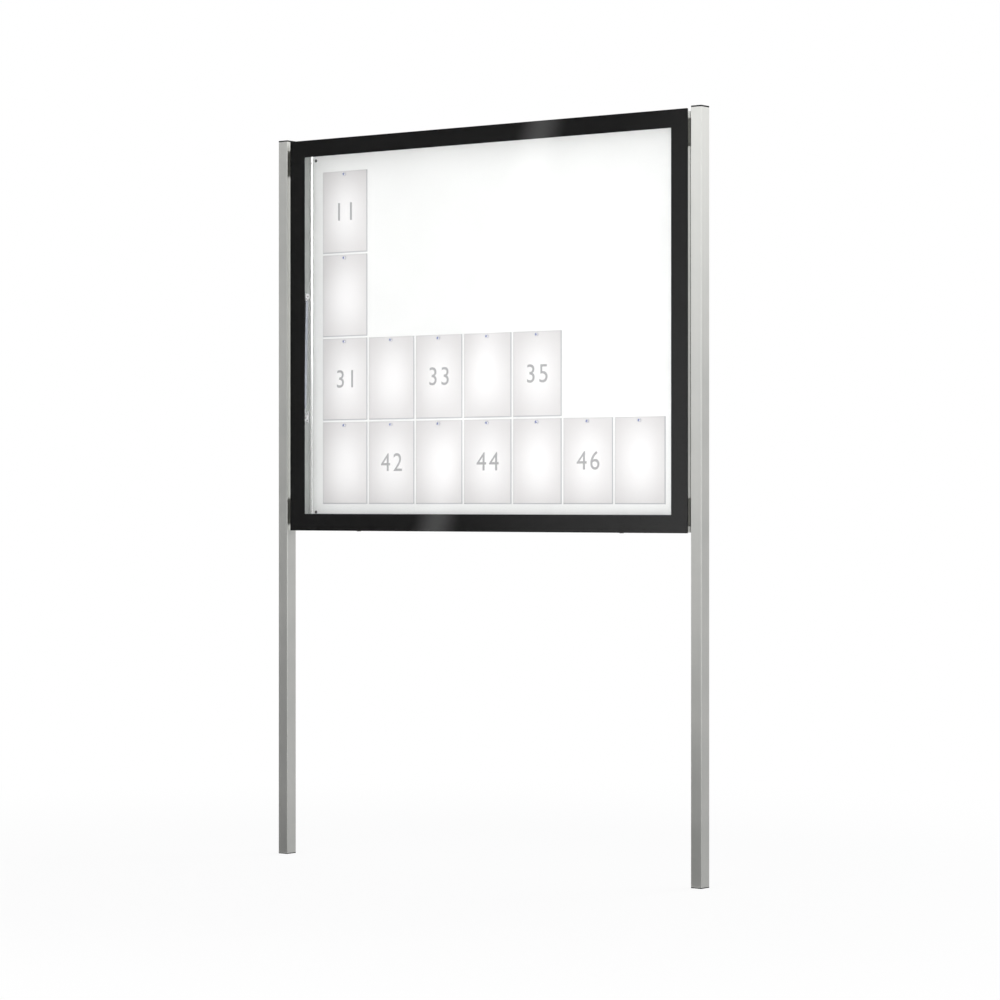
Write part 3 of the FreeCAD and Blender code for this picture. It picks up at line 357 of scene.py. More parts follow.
def finishPiece(name, mesh, look, body, replaced, sharp=35):
    # merged, faces outward, smooth but for edges sharper than that many degrees; rides and replaces
    work = bmesh.new()
    work.from_mesh(mesh)
    bmesh.ops.remove_doubles(work, verts=work.verts, dist=mergeDistance)
    bmesh.ops.recalc_face_normals(work, faces=work.faces)
    work.to_mesh(mesh)
    work.free()
    mesh.shade_smooth()
    mesh.set_sharp_from_angle(angle=math.radians(sharp))
    mesh.materials.clear()
    mesh.materials.append(looks[look])
    piece = bpy.data.objects.new(name, mesh)
    bpy.context.scene.collection.objects.link(piece)
    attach(piece, body or nodes[replaced[0]]["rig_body"])
    if replaced:
        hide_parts(*replaced)
    return piece


def paintFaces(piece, look, test):
    # a second finish on the faces whose middle, in millimetres, and normal pass the test
    mesh = piece.data
    mesh.materials.append(looks[look])
    values = {"center": None, "normal": None}
    for key in values:
        flat = np.zeros(len(mesh.polygons) * 3)
        mesh.polygons.foreach_get(key, flat)
        values[key] = flat.reshape(-1, 3)
    picked = test(values["center"] / mm, values["normal"])
    mesh.polygons.foreach_set("material_index", picked.astype(np.int32))


# Broken edges: angles in degrees, below which faces are joined and above which an edge is bevelled
broken = {"joined": 0.5, "bevelled": 40, "segments": 2, "weight": 100}


def softened(node, look, width):
    # a merged copy of a CAD node with its edges broken by a narrow bevel, width in millimetres
    mesh = nodes[node].data.copy()
    work = bmesh.new()
    work.from_mesh(mesh)
    bmesh.ops.remove_doubles(work, verts=work.verts, dist=mergeDistance)
    bmesh.ops.dissolve_limit(work, angle_limit=math.radians(broken["joined"]), verts=work.verts,
                             edges=work.edges)
    work.to_mesh(mesh)
    work.free()
    piece = finishPiece(node + ".soft", mesh, look, None, (node,))
    bevel = piece.modifiers.new("brokenEdges", "BEVEL")
    bevel.width = width * mm
    bevel.segments = broken["segments"]
    bevel.limit_method = "ANGLE"
    bevel.angle_limit = math.radians(broken["bevelled"])
    bevel.use_clamp_overlap = True
    flat = piece.modifiers.new("flatSides", "WEIGHTED_NORMAL")
    flat.weight = broken["weight"]
    flat.keep_sharp = True
    return piece


def box(node):
    # lowest and highest corner of a CAD node, in millimetres
    low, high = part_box(node)
    return np.array(low) / mm, np.array(high) / mm


# Pieces whose edges are broken: look, and width of the bevel in millimetres
edges = {
    "post_left": ("upright", 0.3), "post_right": ("upright", 0.3),
    "case_left_stile": ("frame", 0.2), "case_right_stile": ("frame", 0.2),
    "case_top_rail": ("level", 0.2), "case_bottom_rail": ("level", 0.2),
    "door_left_stile": ("frame", 0.2), "door_right_stile": ("frame", 0.2),
    "door_top_rail": ("level", 0.2), "door_bottom_rail": ("level", 0.2),
    "hinge_case_leaf": ("level", 0.2), "hinge_door_leaf": ("level", 0.2),
    "spring_case_bracket_left": ("bracket", 0.4), "spring_case_bracket_right": ("bracket", 0.4),
    "spring_door_bracket_left": ("bracket", 0.4), "spring_door_bracket_right": ("bracket", 0.4),
    "lock_cam_left": ("zinc", 0.3), "lock_cam_right": ("zinc", 0.3), "lock_nuts": ("nickel", 0.3),
    "lock_plug_left": ("brass", 0.15), "lock_plug_right": ("brass", 0.15),
    "post_spacers": ("spacer", 0.8), "post_foot_left": ("blackPlastic", 0.5),
    "post_foot_right": ("blackPlastic", 0.5), "post_nut_plates": ("zinc", 0.4),
    "post_bolts": ("zinc", 0.3), "spring_case_studs": ("stainless", 0.3),
    "spring_door_studs": ("stainless", 0.3), "hinge_pin": ("stainless", 0.3),
}
shadedWallReach = {"side": 838.7, "low": 1216.3, "high": 2553.7}  # reach of the painted side walls
for node, (look, width) in edges.items():
    piece = softened(node, look, width)
    # painted shade: the stiles' faces inside the case get the darker grey in place of the bright frame finish
    if node in ("case_left_stile", "case_right_stile"):
        paintFaces(piece, "inside", lambda middle, normal: (abs(middle[:, 0]) < shadedWallReach["side"])
                   & (middle[:, 2] > shadedWallReach["low"]) & (middle[:, 2] < shadedWallReach["high"]))
print("edges broken on", len(edges), "nodes")

# Door glass with a ground arris, and the border printed on its back; edgeNormal parts rim from faces
glass = {"arris": 0.6, "corner": 3.0, "sunk": 0.02, "edgeNormal": 0.95}
low, high = box("door_glass")
shape = bevelled((low[0], high[0], low[2], high[2]), (low[1], high[1]), glass["corner"], glass["arris"],
                 steps=6, edgeSteps=1)
pane = makePiece("doorGlass", [shape], "glass", replaced=("door_glass",), sharp=20)
paintFaces(pane, "glassEdge", lambda middle, normal: abs(normal[:, 1]) < glass["edgeNormal"])

border = {"side": 68.0, "top": 61.0, "corner": 2.4, "innerCorner": 0.6}
low, high = box("door_border_print")
glassLow, glassHigh = box("door_glass")
rim = glass["arris"]
outer = (glassLow[0] + rim, glassHigh[0] - rim, glassLow[2] + rim, glassHigh[2] - rim, border["corner"])
inner = (glassLow[0] + border["side"], glassHigh[0] - border["side"], glassLow[2] + border["top"],
         glassHigh[2] - border["top"], border["innerCorner"])
front, back = low[1] - glass["sunk"], high[1]
makePiece("borderPrint", [layered([outer + (front,), outer + (back,), inner + (back,), inner + (front,)],
                                  looped=True)], "print", replaced=("door_border_print",))

# Bulb seal round the case's front: a flat foot and a domed back, swept round the mitred corners
seal = {"width": 4.4, "corner": 6.0, "foot": 0.5}
low, high = box("door_seal")
foot = high[1] - seal["foot"]
profile = [(0.0, high[1]), (0.0, foot)]
profile += [(seal["width"] / 2 * (1 - math.cos(a)), foot - (foot - low[1]) * math.sin(a))
            for a in np.linspace(0, math.pi, 9)[1:-1]]
profile += [(seal["width"], foot), (seal["width"], high[1])]
makePiece("bulbSeal", [layered([(low[0] + s, high[0] - s, low[2] + s, high[2] - s, seal["corner"] - s, y)
                                for s, y in profile], looped=True)], "rubber", replaced=("door_seal",))

# Bright bead on the panel, along the case's walls: offset from the wall and height over the panel
bead = {"wall": 35.0, "section": ((3.0, 0.0), (3.0, 2.9), (6.0, 0.2), (6.2, 0.0))}
case = [box("case_" + side)[end] for side, end in (("left_stile", 0), ("right_stile", 1), ("top_rail", 1))]
left, right = case[0][0] + bead["wall"], case[1][0] - bead["wall"]
bottom, top, panelFace = case[0][2] + bead["wall"], case[2][2] - bead["wall"], box("display_panel")[0][1]
layers = [(left + s, right - s, bottom + s, top - s, leastRadius, panelFace - rise)
          for s, rise in bead["section"]]
makePiece("panelBead", [layered(layers, looped=True, steps=1)],
          "frame", "case_and_posts")
print("glass, border, seal and bead made")

# Caps on the posts: a lid with rolled edges and a hollow plug below; eased is (inward, upward)
cap = {"lid": 5.0, "roll": 0.7, "corner": 1.5, "leastCorner": 0.3, "under": 0.3, "plugInset": 3.15,
       "plugWall": 3.0, "eased": (0.8, 1.0)}
for side in ("left", "right"):
    low, high = box("post_cap_" + side)
    under, plugOut, plugIn = high[2] - cap["lid"], cap["plugInset"], cap["plugInset"] + cap["plugWall"]
    rows = [(cap["roll"] * (1 - math.cos(a)), high[2] - cap["roll"] * (1 - math.sin(a)))
            for a in np.linspace(0, math.pi / 2, 5)[::-1]]
    rows += [(0.0, under + cap["under"]), (cap["under"], under), (plugOut, under),
             (plugOut, low[2] + cap["eased"][1]), (plugOut + cap["eased"][0], low[2]),
             (plugIn, low[2]), (plugIn, under)]
    layers = [(low[0] + s, high[0] - s, low[1] + s, high[1] - s,
               max(cap["corner"] - s, cap["leastCorner"]), z) for s, z in rows]
    makePiece("postCap." + side, [layered(layers, "xy")], "blackPlastic", replaced=("post_cap_" + side,))

# Gas springs: tube with a rolled groove and a spun top, polished rod, and round eyes. Pairs are (outward,
# upward) from the tube's wall; grooveLine has shares of the depth; an eye is (outer, bore, thickness)
spring = {"x": 827.0, "low": (-15.3, 1592.6), "high": (-5.3, 2031.6), "tube": 7.5, "bore": 6.3, "start": 30.0,
          "endWall": 6.0, "neck": 15.0, "neckRadius": 4.0, "neckRise": 0.4, "rod": 4.0, "rodPlay": 0.1,
          "mouth": ((-1.6, 0.0), (-0.5, 0.5), (0.0, 1.8)), "groove": 8.0, "grooveDepth": 0.7,
          "grooveLine": ((0.0, -1.6), (0.5, -1.0), (1.0, 0.0), (0.5, 1.0), (0.0, 1.6)),
          "shoulder": ((0.0, -5.0), (-0.5, -3.0), (-1.6, -1.2), (-3.0, 0.0)),
          "highEye": (11.5, 4.5, 15.0), "lowEye": (9.0, 4.05, 9.0), "eyeRound": 1.2, "rodStart": 5.5,
          "rodTop": 388.114, "rodEdge": 0.6, "spigot": 2.5, "piston": 10.0,
          "collar": ((4.0, 9.0), (6.0, 9.0), (6.0, 15.5), (5.4, 16.1), (4.0, 16.1))}
eyePin = {"play": 0.05, "sunk": 0.7, "edge": 0.8, "backSunk": 0.4}


def ringPart(middle, outer, bore, thick, edge):
    # an eye: a closed ring profile with rounded rims, turned about the X axis
    half = thick / 2
    corners = [(bore, -half), (outer, -half), (outer, half), (bore, half)]
    line = roundCorners(corners, (edge / 3, edge, edge, edge / 3), 3)
    return turned(line, middle, (1, 0, 0), 40, True)


for side, sign in (("left", -1), ("right", 1)):
    foot = np.array((sign * spring["x"], *spring["low"]))
    top = np.array((sign * spring["x"], *spring["high"]))
    length = np.linalg.norm(top - foot)
    axis = (top - foot) / length
    r, start, end, wall = spring["tube"], spring["start"], length - spring["neck"], spring["endWall"]
    passage = spring["rod"] + spring["rodPlay"]
    line = [(0, end - wall), (spring["bore"], end - wall), (spring["bore"], start + wall),
            (passage, start + wall), (passage, start)]
    line += [(r + out, start + up) for out, up in spring["mouth"]]
    line += [(r - spring["grooveDepth"] * share, start + spring["groove"] + up)
             for share, up in spring["grooveLine"]]
    line += [(r + out, end + up) for out, up in spring["shoulder"]]
    line += [(spring["neckRadius"], end + spring["neckRise"]), (spring["neckRadius"], length - wall),
             (0, length - wall)]
    outer, bore, thick = spring["highEye"]
    tube = makePiece("springTube." + side, [turned(line, foot, axis, 40),
                                            ringPart(top, outer, bore, thick, spring["eyeRound"])],
                     "tube", replaced=("gas_spring_cylinder_" + side,))
    paintFaces(tube, "bracket", lambda middle, normal: middle[:, 2] > spring["high"][1] - spring["neck"])
    outer, bore, thick = spring["lowEye"]
    rod, rodStart, rodTop, edge = spring["rod"], spring["rodStart"], spring["rodTop"], spring["rodEdge"]
    shaft = [(0, rodStart), (rod, rodStart), (rod, rodTop - edge), (rod - edge, rodTop),
             (spring["spigot"], rodTop), (spring["spigot"], rodTop + spring["piston"]),
             (0, rodTop + spring["piston"])]
    makePiece("springRod." + side, [
        turned(shaft, foot, axis, 32), turned(spring["collar"], foot, axis, 6, True),
        ringPart(foot, outer, bore, thick, spring["eyeRound"])], "chrome",
        replaced=("gas_spring_rod_" + side,))
    pin = spring["highEye"][1] - eyePin["play"]
    half = spring["highEye"][2] / 2
    tip = half - eyePin["sunk"]
    line = [(0, -tip), (pin - eyePin["edge"], -tip), (pin, eyePin["edge"] - tip),
            (pin, half - eyePin["backSunk"]), (0, half - eyePin["backSunk"])]
    makePiece("springEyePin." + side, [turned(line, top, (sign, 0, 0), 32)], "stainless",
              "spring_cylinder_" + side)
print("caps and gas springs made")


def hexagon(angle):
    # radius of a hexagon over the radius of its inner circle
    return 1 / np.cos((angle + math.pi / 6) % (math.pi / 3) - math.pi / 6)


# Screws: head radius and height, shank radius and length, socket's inner radius. Places come from the solids
screws = {"small": (3.5, 1.4, 1.75, 6.0, 1.0), "bracket": (3.6, 2.0, 2.0, 8.0, 1.25),
          "cam": (3.5, 2.5, 1.5, 6.0, 1.2)}
screwForm = {"rimInset": 0.15, "rimDrop": 0.12, "tip": 0.5, "domeFlat": 0.62, "domeHeight": 0.85,
             "domeStart": 0.15, "socketDepth": 0.75}


def socketScrew(place, direction, head, headHeight, shank, length, socket, flat):
    # a turned head with a rounded or flat top, a hexagon socket sunk into it, and a shank
    if flat:
        outer = [(head - screwForm["rimInset"], 0), (head, screwForm["rimDrop"])]
    else:
        share = screwForm["domeFlat"]
        outer = [(head * (share + (1 - share) * math.sin(a)),
                  headHeight * (1 - math.cos(a)) * screwForm["domeHeight"])
                 for a in np.linspace(screwForm["domeStart"], math.pi / 2, 5)]
        outer += [(head, headHeight)]
    end, tip = headHeight + length, screwForm["tip"]
    outer += [(shank, headHeight), (shank, end - tip), (shank - tip, end), (0, end)]
    sunk = screwForm["socketDepth"] * headHeight
    rows = [(0, sunk), (socket, sunk), (socket, outer[0][1])] + outer
    sixSided = np.array([0, 1, 1] + [0] * len(outer))[:, None]
    return turned(rows, place, direction, 24, wave=lambda a: 1 + sixSided * (hexagon(a)[None, :] - 1))


def solidBoxes(node):
    # lowest and highest corner of each loose solid of a CAD node, in millimetres
    work = bmesh.new()
    work.from_mesh(nodes[node].data)
    bmesh.ops.remove_doubles(work, verts=work.verts, dist=mergeDistance)
    seen, places = set(), []
    for vertex in work.verts:
        if vertex.index in seen:
            continue
        island, queue = [], [vertex]
        seen.add(vertex.index)
        while queue:
            current = queue.pop()
            island.append(tuple(current.co))
            for edge in current.link_edges:
                other = edge.other_vert(current)
                if other.index not in seen:
                    seen.add(other.index)
                    queue.append(other)
        points = np.array(island) / mm
        places.append((points.min(0), points.max(0)))
    work.free()
    return places


for node, kind, axis, sign in (
        ("hinge_case_screws", "small", 1, 1), ("hinge_door_screws", "small", 1, -1),
        ("spring_case_screws", "bracket", 0, 0), ("spring_door_screws", "bracket", 0, 0)):
    parts = []
    for low, high in solidBoxes(node):
        place = (low + high) / 2
        way = sign or (1 if place[0] > 0 else -1)
        place[axis] = low[axis] if way > 0 else high[axis]
        direction = np.zeros(3)
        direction[axis] = way
        parts.append(socketScrew(place, direction, *screws[kind], kind == "small"))
    makePiece(node + ".turned", parts, "stainless", replaced=(node,))

for side in ("left", "right"):
    low, high = box("lock_cam_screw_" + side)
    place = ((low[0] + high[0]) / 2, (low[1] + high[1]) / 2, high[2])
    makePiece("lockCamScrew." + side, [socketScrew(place, (0, 0, -1), *screws["cam"], False)],
              "stainless", replaced=("lock_cam_screw_" + side,))

# Cam locks: a rim with eased and rounded edges, and a threaded body above it
lock = {"rim": 8.0, "rimHeight": 4.0, "edge": 1.0, "round": 0.3, "eased": 0.4, "body": 6.0, "bore": 4.05,
        "pitch": 1.0, "thread": 0.35, "plain": 0.5}
for side in ("left", "right"):
    low, high = box("lock_housing_" + side)
    x, y, tall = (low[0] + high[0]) / 2, (low[1] + high[1]) / 2, high[2] - low[2]
    rim, rimHeight, edge, eased = lock["rim"], lock["rimHeight"], lock["edge"], lock["eased"]
    turns = np.arange(lock["plain"], tall - rimHeight - lock["plain"], lock["pitch"] / 2)
    line = [(lock["bore"], eased), (lock["bore"] + eased, 0), (rim - edge - eased, 0),
            (rim - lock["round"], edge - lock["round"]), (rim, edge + lock["round"]),
            (rim, rimHeight - eased), (rim - eased, rimHeight), (lock["body"], rimHeight)]
    line += [(lock["body"] - (lock["thread"] if k % 2 else 0), rimHeight + v) for k, v in enumerate(turns)]
    line += [(lock["body"] - lock["plain"], tall), (lock["bore"], tall)]
    makePiece("lockHousing." + side, [turned(line, (x, y, low[2]), (0, 0, 1), 48, True)], "nickel",
              replaced=("lock_housing_" + side,))

# Rubber rings in the wall holes, each closed by a thin film, and caps over the bolts' access holes
grommet = {"hole": 3.25, "sleeve": 4.5, "flange": 5.5, "lip": 0.8, "rounds": (0.3, 0.5, 0.1, 0.1, 0.2, 0.2),
           "film": (0.3, 0.6), "filmGrip": 0.1}
parts = []
for low, high in solidBoxes("wall_hole_grommets"):
    place = ((low[0] + high[0]) / 2, low[1], (low[2] + high[2]) / 2)
    hole, sleeve, flange, lip = (grommet[key] for key in ("hole", "sleeve", "flange", "lip"))
    depth, reach, (start, end) = high[1] - low[1], hole + grommet["filmGrip"], grommet["film"]
    line = roundCorners([(hole, 0), (flange, 0), (flange, lip), (sleeve, lip), (sleeve, depth),
                         (hole, depth)], grommet["rounds"], 3)
    parts.append(turned(line, place, (0, 1, 0), 32, True))
    parts.append(turned([(0, start), (reach, start), (reach, end), (0, end)], place, (0, 1, 0), 32))
makePiece("wallHoleGrommets", parts, "rubber", replaced=("wall_hole_grommets",))

plug = {"face": ((0.0, 0.1), (4.0, 0.0), (6.5, 0.1)), "flange": 8.5, "roll": (0.3, 0.6), "eased": 0.4,
        "lip": 0.8, "body": 7.4, "depth": 2.8}
parts = []
for low, high in solidBoxes("bolt_access_plugs"):
    way = 1 if low[0] > 0 else -1
    middle = (low + high) / 2
    place = (low[0] if way > 0 else high[0], middle[1], middle[2])
    flange, body, depth, eased = plug["flange"], plug["body"], plug["depth"], plug["eased"]
    line = [*plug["face"], (flange - eased, plug["roll"][0]), (flange, plug["roll"][1]),
            (flange, plug["lip"]), (body, plug["lip"]), (body, depth - eased), (body - eased, depth),
            (0, depth)]
    parts.append(turned(line, place, (way, 0, 0), 32))
makePiece("accessPlugs", parts, "silverPlastic", replaced=("bolt_access_plugs",))
print("screws, locks, grommets and plugs made")

# Notices: thin boards with eased edges, in rows of one, one, five and seven
notice = {"size": (210.0, 297.0), "pitch": (217.8, 303.5), "left": -781.3, "top": 2484.3,
          "counts": (1, 1, 5, 7), "corner": 0.6, "edge": 0.25}
for row, count in enumerate(notice["counts"]):
    node = "notice_sheets_row_" + str(row + 1)
    low, high = box(node)
    parts = []
    for column in range(count):
        x = notice["left"] + column * notice["pitch"][0]
        z = notice["top"] - row * notice["pitch"][1]
        parts.append(bevelled((x, x + notice["size"][0], z - notice["size"][1], z), (low[1], high[1]),
                              notice["corner"], notice["edge"], steps=3, edgeSteps=2))
    piece = makePiece("noticeSheets.row" + str(row + 1), parts, "paper", replaced=(node,))
    # each sheet's own map: 0 to 1 across and upward
    mesh = piece.data
    corner = np.zeros(len(mesh.loops), np.int32)
    mesh.loops.foreach_get("vertex_index", corner)
    place = np.zeros(len(mesh.vertices) * 3, np.float32)
    mesh.vertices.foreach_get("co", place)
    place = place.reshape(-1, 3)[corner] / mm
    gap = notice["pitch"][0] - notice["size"][0]
    across = ((place[:, 0] - notice["left"] + gap / 2) % notice["pitch"][0] - gap / 2) / notice["size"][0]
    upward = 1 + (place[:, 2] - z) / notice["size"][1]
    uvMap = mesh.uv_layers.new(name="sheet")
    uvMap.data.foreach_set("uv", np.column_stack([across, upward]).astype(np.float32).ravel())

# Magnets: a dished round face and a rolled rim; face is the reach of the lacquer from each middle
magnet = {"radius": 6.5, "roll": 0.9, "dish": 0.25, "dishEnds": (4.2, 4.8), "backEdge": 0.4, "face": 4.3,
          "faceNormal": 0.9}
parts, middles = [], []
for low, high in solidBoxes("notice_magnets"):
    middle, depth, radius, edge = (low + high) / 2, high[1] - low[1], magnet["radius"], magnet["backEdge"]
    inner, outer = magnet["dishEnds"]
    line = [(0, magnet["dish"]), (inner, magnet["dish"]), (outer, 0)]
    line += [(radius - magnet["roll"] * (1 - math.sin(a)), magnet["roll"] * (1 - math.cos(a)))
             for a in np.linspace(0, math.pi / 2, 5)]
    line += [(radius, depth - edge), (radius - edge, depth), (0, depth)]
    parts.append(turned(line, (middle[0], low[1], middle[2]), (0, 1, 0), 36))
    middles.append((middle[0], middle[2]))
magnets = makePiece("noticeMagnets", parts, "magnet", replaced=("notice_magnets",))
paintFaces(magnets, "magnetFace", lambda middle, normal: (normal[:, 1] < -magnet["faceNormal"])
           & (np.linalg.norm(middle[:, None, ::2] - np.array(middles)[None], axis=2).min(1) < magnet["face"]))

# Plain row and column numbers on half of the sheets: height, drop below the sheet's top, height over the
# paper and depth in it, in millimetres
number = {"height": 64.0, "drop": 147.0, "over": 0.04, "sunk": 0.02, "extrude": 0.01, "spacing": 1.2}
labels = {(0, 0): "11", (2, 0): "31", (2, 2): "33", (2, 4): "35", (3, 1): "42", (3, 3): "44", (3, 5): "46"}
meshes = []
low, high = box("notice_sheets_row_1")
for (row, column), label in labels.items():
    curve = bpy.data.curves.new("number" + label, "FONT")
    curve.body = label
    curve.extrude = number["extrude"]
    curve.space_character = number["spacing"]
    holder = bpy.data.objects.new("number" + label, curve)
    bpy.context.scene.collection.objects.link(holder)
    bpy.context.view_layer.update()
    mesh = bpy.data.meshes.new_from_object(holder.evaluated_get(bpy.context.evaluated_depsgraph_get()))
    bpy.data.objects.remove(holder)
    place = np.zeros(len(mesh.vertices) * 3)
    mesh.vertices.foreach_get("co", place)
    place = place.reshape(-1, 3)
    span = place.max(0) - place.min(0)
    scale = number["height"] / span[1]
    flat = (place - (place.max(0) + place.min(0)) / 2) * scale
    x = notice["left"] + column * notice["pitch"][0] + notice["size"][0] / 2
    z = notice["top"] - row * notice["pitch"][1] - number["drop"]
    depth = np.where(place[:, 2] > 0, low[1] - number["over"], low[1] + number["sunk"])
    meshes.append((np.column_stack([flat[:, 0] + x, depth, flat[:, 1] + z]),
                   [list(p.vertices) for p in mesh.polygons]))
makePiece("sheetNumbers", meshes, "ink", "case_and_posts", sharp=20)
print("notices, magnets and numbers made")

# Looks of the CAD nodes themselves: by slot, and by name where one slot has several
slotLooks = {
    "anodised_aluminium": "upright", "cast_aluminium": "keys", "rear_cover_sheet": "rear",
    "black_plastic": "blackPlastic", "spacer_plastic": "spacer", "silver_plastic": "silverPlastic",
    "white_steel": "whiteSteel", "clear_glass": "glass", "black_print": "print",
    "black_sealant": "sealant", "black_rubber": "rubber", "zinc_steel": "zinc",
    "stainless_steel": "stainless", "chromed_steel": "chrome", "nickel_plated_brass": "nickel",
    "brass": "brass", "paper": "paper",
}
ownLooks = {
    "case_top_rail": "level", "case_bottom_rail": "level", "door_top_rail": "level",
    "door_bottom_rail": "level", "hinge_case_leaf": "level", "hinge_door_leaf": "level",
    "gas_spring_cylinder_left": "tube", "gas_spring_cylinder_right": "tube",
    "notice_magnets": "magnet",
}
for node, slot in slots.items():
    look = ownLooks.get(node, slotLooks[slot])
    mesh = nodes[node].data
    mesh.materials.clear()
    mesh.materials.append(looks[look])
print("materials on the nodes")

# Studio: a pale floor and backdrop, soft lamps, and cards that only reflections see. The floor is half its
# width from the middle; its glow dims near the feet, between glowStart and glowEnd from the middle
studio = {"floor": 80.0, "world": 0.8, "floorHex": "#efeff0", "nearGlow": 0.84, "glowStart": 1.2,
          "glowEnd": 4.0}


def cardCorners(xs, ys, zs):
    # of a card that stands at one y or lies at one z
    (x0, x1), (y0, y1), (z0, z1) = xs, ys, zs
    return [(x0, y0, z0), (x1, y0, z0), (x1, y1, z1), (x0, y1, z1)]


def makeStage(name, places, material, onlyReflected=False):
    mesh = bpy.data.meshes.new(name)
    mesh.from_pydata(places, [], [(0, 1, 2, 3)])
    mesh.materials.append(material)
    plane = bpy.data.objects.new(name, mesh)
    bpy.context.scene.collection.objects.link(plane)
    if onlyReflected:
        plane.visible_camera = plane.visible_diffuse = False
        plane.visible_transmission = plane.visible_shadow = False


def seenRays(tree):
    # 1 for rays from the camera, through glass or off a glossy surface, 0 for light that falls on things
    path = addNode(tree, "ShaderNodeLightPath")
    total = addNode(tree, "ShaderNodeMath", {"operation": "ADD"}, {
        0: path.outputs["Is Camera Ray"], 1: path.outputs["Is Transmission Ray"]})
    return addNode(tree, "ShaderNodeMath", {"operation": "ADD", "use_clamp": True}, {
        0: total.outputs[0], 1: path.outputs["Is Glossy Ray"]}).outputs[0]


half = studio["floor"]
material, tree, surface, output = newMaterial("studioFloor", {
    "Base Color": toLinear(studio["floorHex"]), "Roughness": 0.9, "Specular IOR Level": 0.0})
glow = addNode(tree, "ShaderNodeEmission", {"Color": (1, 1, 1, 1), "Strength": 1.0})
place = addNode(tree, "ShaderNodeTexCoord")
reach = addNode(tree, "ShaderNodeVectorMath", {"operation": "LENGTH"}, {0: place.outputs["Object"]})
fade = addNode(tree, "ShaderNodeMapRange", {
    "interpolation_type": "SMOOTHSTEP", "From Min": studio["glowStart"], "From Max": studio["glowEnd"],
    "To Min": studio["nearGlow"], "To Max": 1.0}, {"Value": reach.outputs["Value"]})
share = addNode(tree, "ShaderNodeMath", {"operation": "MULTIPLY"}, {0: seenRays(tree), 1: fade.outputs[0]})
mix = addNode(tree, "ShaderNodeMixShader", links={
    0: share.outputs[0], 1: surface.outputs[0], 2: glow.outputs[0]})
tree.links.new(mix.outputs[0], output.inputs["Surface"])
makeStage("floor", cardCorners((-half, half), (-half, half), (0, 0)), material)

world = bpy.data.worlds.new("studioWorld")
world.use_nodes = True
tree = world.node_tree
tree.nodes.clear()
soft = addNode(tree, "ShaderNodeBackground", {"Color": (1, 1, 1, 1), "Strength": studio["world"]})
white = addNode(tree, "ShaderNodeBackground", {"Color": (1, 1, 1, 1), "Strength": 1.0})
mix = addNode(tree, "ShaderNodeMixShader", links={0: seenRays(tree), 1: soft.outputs[0], 2: white.outputs[0]})
addNode(tree, "ShaderNodeOutputWorld", links={"Surface": mix.outputs[0]})
bpy.context.scene.world = world

# Cards whose light changes along one axis: reach in x, y and z, the axis, where along it the light changes,
# and the light at both ends; lying cards keep just above the floor
up = 0.001
cards = {
    "leftBankCard": ((-8.5, -6.12), (-6, -6), (0, 6), 2, (0, 6), (0.247, 1.04)),
    "rightBankCard": ((-3.15, -1.5), (-6, -6), (0, 6), 2, (0, 6), (0.272, 2.99)),
    "leftBackCard": ((2, 4.4), (6, 6), (0, 8), 2, (2.0, 3.1), (0.46, 0.46)),
    "rightBackCard": ((4.4, 9), (6, 6), (0, 8), 2, (2.0, 3.1), (0.46, 1.22)),
    "frontGroundCard": ((-8.5, 6), (-6, -0.05), (up, up), 1, (-6, 0), (0.15, 0.15)),
    "backGroundCard": ((-9, 9), (-0.045, 6), (up, up), 1, (0, 6), (0.43, 0.43)),
}
for name, (xs, ys, zs, axis, reach, light) in cards.items():
    material, tree, surface, output = newMaterial(name)
    place = addNode(tree, "ShaderNodeTexCoord")
    axes = addNode(tree, "ShaderNodeSeparateXYZ", links={0: place.outputs["Object"]})
    rise = addNode(tree, "ShaderNodeMapRange", {"From Min": reach[0], "From Max": reach[1],
                                                "To Min": light[0], "To Max": light[1]},
                   {"Value": axes.outputs[axis]})
    glow = addNode(tree, "ShaderNodeEmission", links={"Strength": rise.outputs[0]})
    tree.links.new(glow.outputs[0], output.inputs["Surface"])
    makeStage(name, cardCorners(xs, ys, zs), material, True)

# The black card that the glass mirrors, with a lit leaning strip and a glow low at its right. The strip's
# light falls off over its half width; the glow has a value at its middle and changes evenly along x and z
blackCard = {"depth": -6.0, "width": (-6.12, -3.15), "height": (0.0, 6.0), "stripMiddle": (-4.199, 3.378),
             "stripLean": 0.339, "stripHalf": 0.19, "stripLight": 1.15, "glow": 0.62,
             "glowMiddle": (-3.175, 1.156), "glowSlope": (0.369, -0.199)}
material, tree, surface, output = newMaterial("blackCard")
place = addNode(tree, "ShaderNodeTexCoord")
(x, z), lean, (slopeX, slopeZ) = blackCard["stripMiddle"], blackCard["stripLean"], blackCard["glowSlope"]
off = addNode(tree, "ShaderNodeVectorMath", {"operation": "DOT_PRODUCT", 1: (1, 0, -lean)},
              {0: place.outputs["Object"]})
off = addNode(tree, "ShaderNodeMath", {"operation": "SUBTRACT", 1: x - lean * z}, {0: off.outputs["Value"]})
away = addNode(tree, "ShaderNodeMath", {"operation": "ABSOLUTE"}, {0: off.outputs[0]})
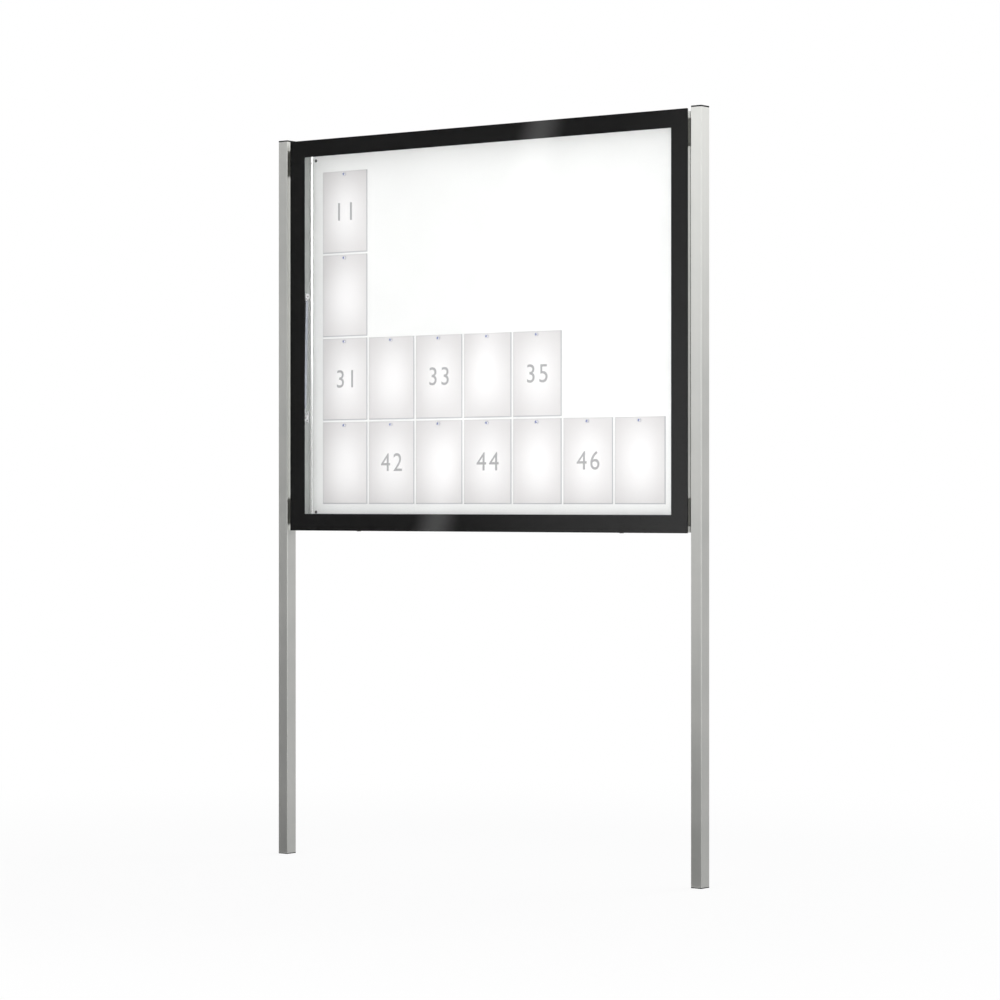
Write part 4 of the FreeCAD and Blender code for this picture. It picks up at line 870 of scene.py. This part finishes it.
strip = addNode(tree, "ShaderNodeMapRange", {
    "interpolation_type": "SMOOTHSTEP", "From Max": blackCard["stripHalf"],
    "To Min": blackCard["stripLight"], "To Max": 0.0}, {"Value": away.outputs[0]})
side = addNode(tree, "ShaderNodeMath", {"operation": "GREATER_THAN", 1: 0.0}, {0: off.outputs[0]})
haze = addNode(tree, "ShaderNodeVectorMath", {"operation": "DOT_PRODUCT", 1: (slopeX, 0, slopeZ)},
               {0: place.outputs["Object"]})
x, z = blackCard["glowMiddle"]
haze = addNode(tree, "ShaderNodeMath", {"operation": "ADD", 1: blackCard["glow"] - slopeX * x - slopeZ * z},
               {0: haze.outputs["Value"]})
haze = addNode(tree, "ShaderNodeMath", {"operation": "MAXIMUM", 1: 0.0}, {0: haze.outputs[0]})
total = addNode(tree, "ShaderNodeMath", {"operation": "MULTIPLY_ADD"}, {
    0: haze.outputs[0], 1: side.outputs[0], 2: strip.outputs[0]})
glow = addNode(tree, "ShaderNodeEmission", links={"Strength": total.outputs[0]})
tree.links.new(glow.outputs[0], output.inputs["Surface"])
depth = blackCard["depth"]
makeStage("blackCard", cardCorners(blackCard["width"], (depth, depth), blackCard["height"]), material, True)

# Lamps: place, the point they face, size in metres, and watts
lamps = {
    "keyLamp": ((2.0, -7.2, 1.0), (0, 0, 1.7), (3.0, 2.0), 137),
    "topLamp": ((0.5, -4.0, 6.5), (0, 0, 1.7), (3.0, 3.0), 27),
    "backLamp": ((3.0, 6.0, 4.5), (0, 0, 1.6), (4.0, 3.0), 160),
}
for name, (place, aim, size, watts) in lamps.items():
    lamp = bpy.data.lights.new(name, "AREA")
    lamp.shape = "RECTANGLE"
    lamp.size, lamp.size_y = size
    lamp.energy = watts
    holder = bpy.data.objects.new(name, lamp)
    away = np.array(aim, float) - np.array(place, float)
    holder.location = place
    holder.rotation_euler = (math.atan2(math.hypot(away[0], away[1]), -away[2]), 0,
                             math.atan2(away[1], away[0]) - math.pi / 2)
    holder.visible_glossy = False
    bpy.context.scene.collection.objects.link(holder)
print("studio made")
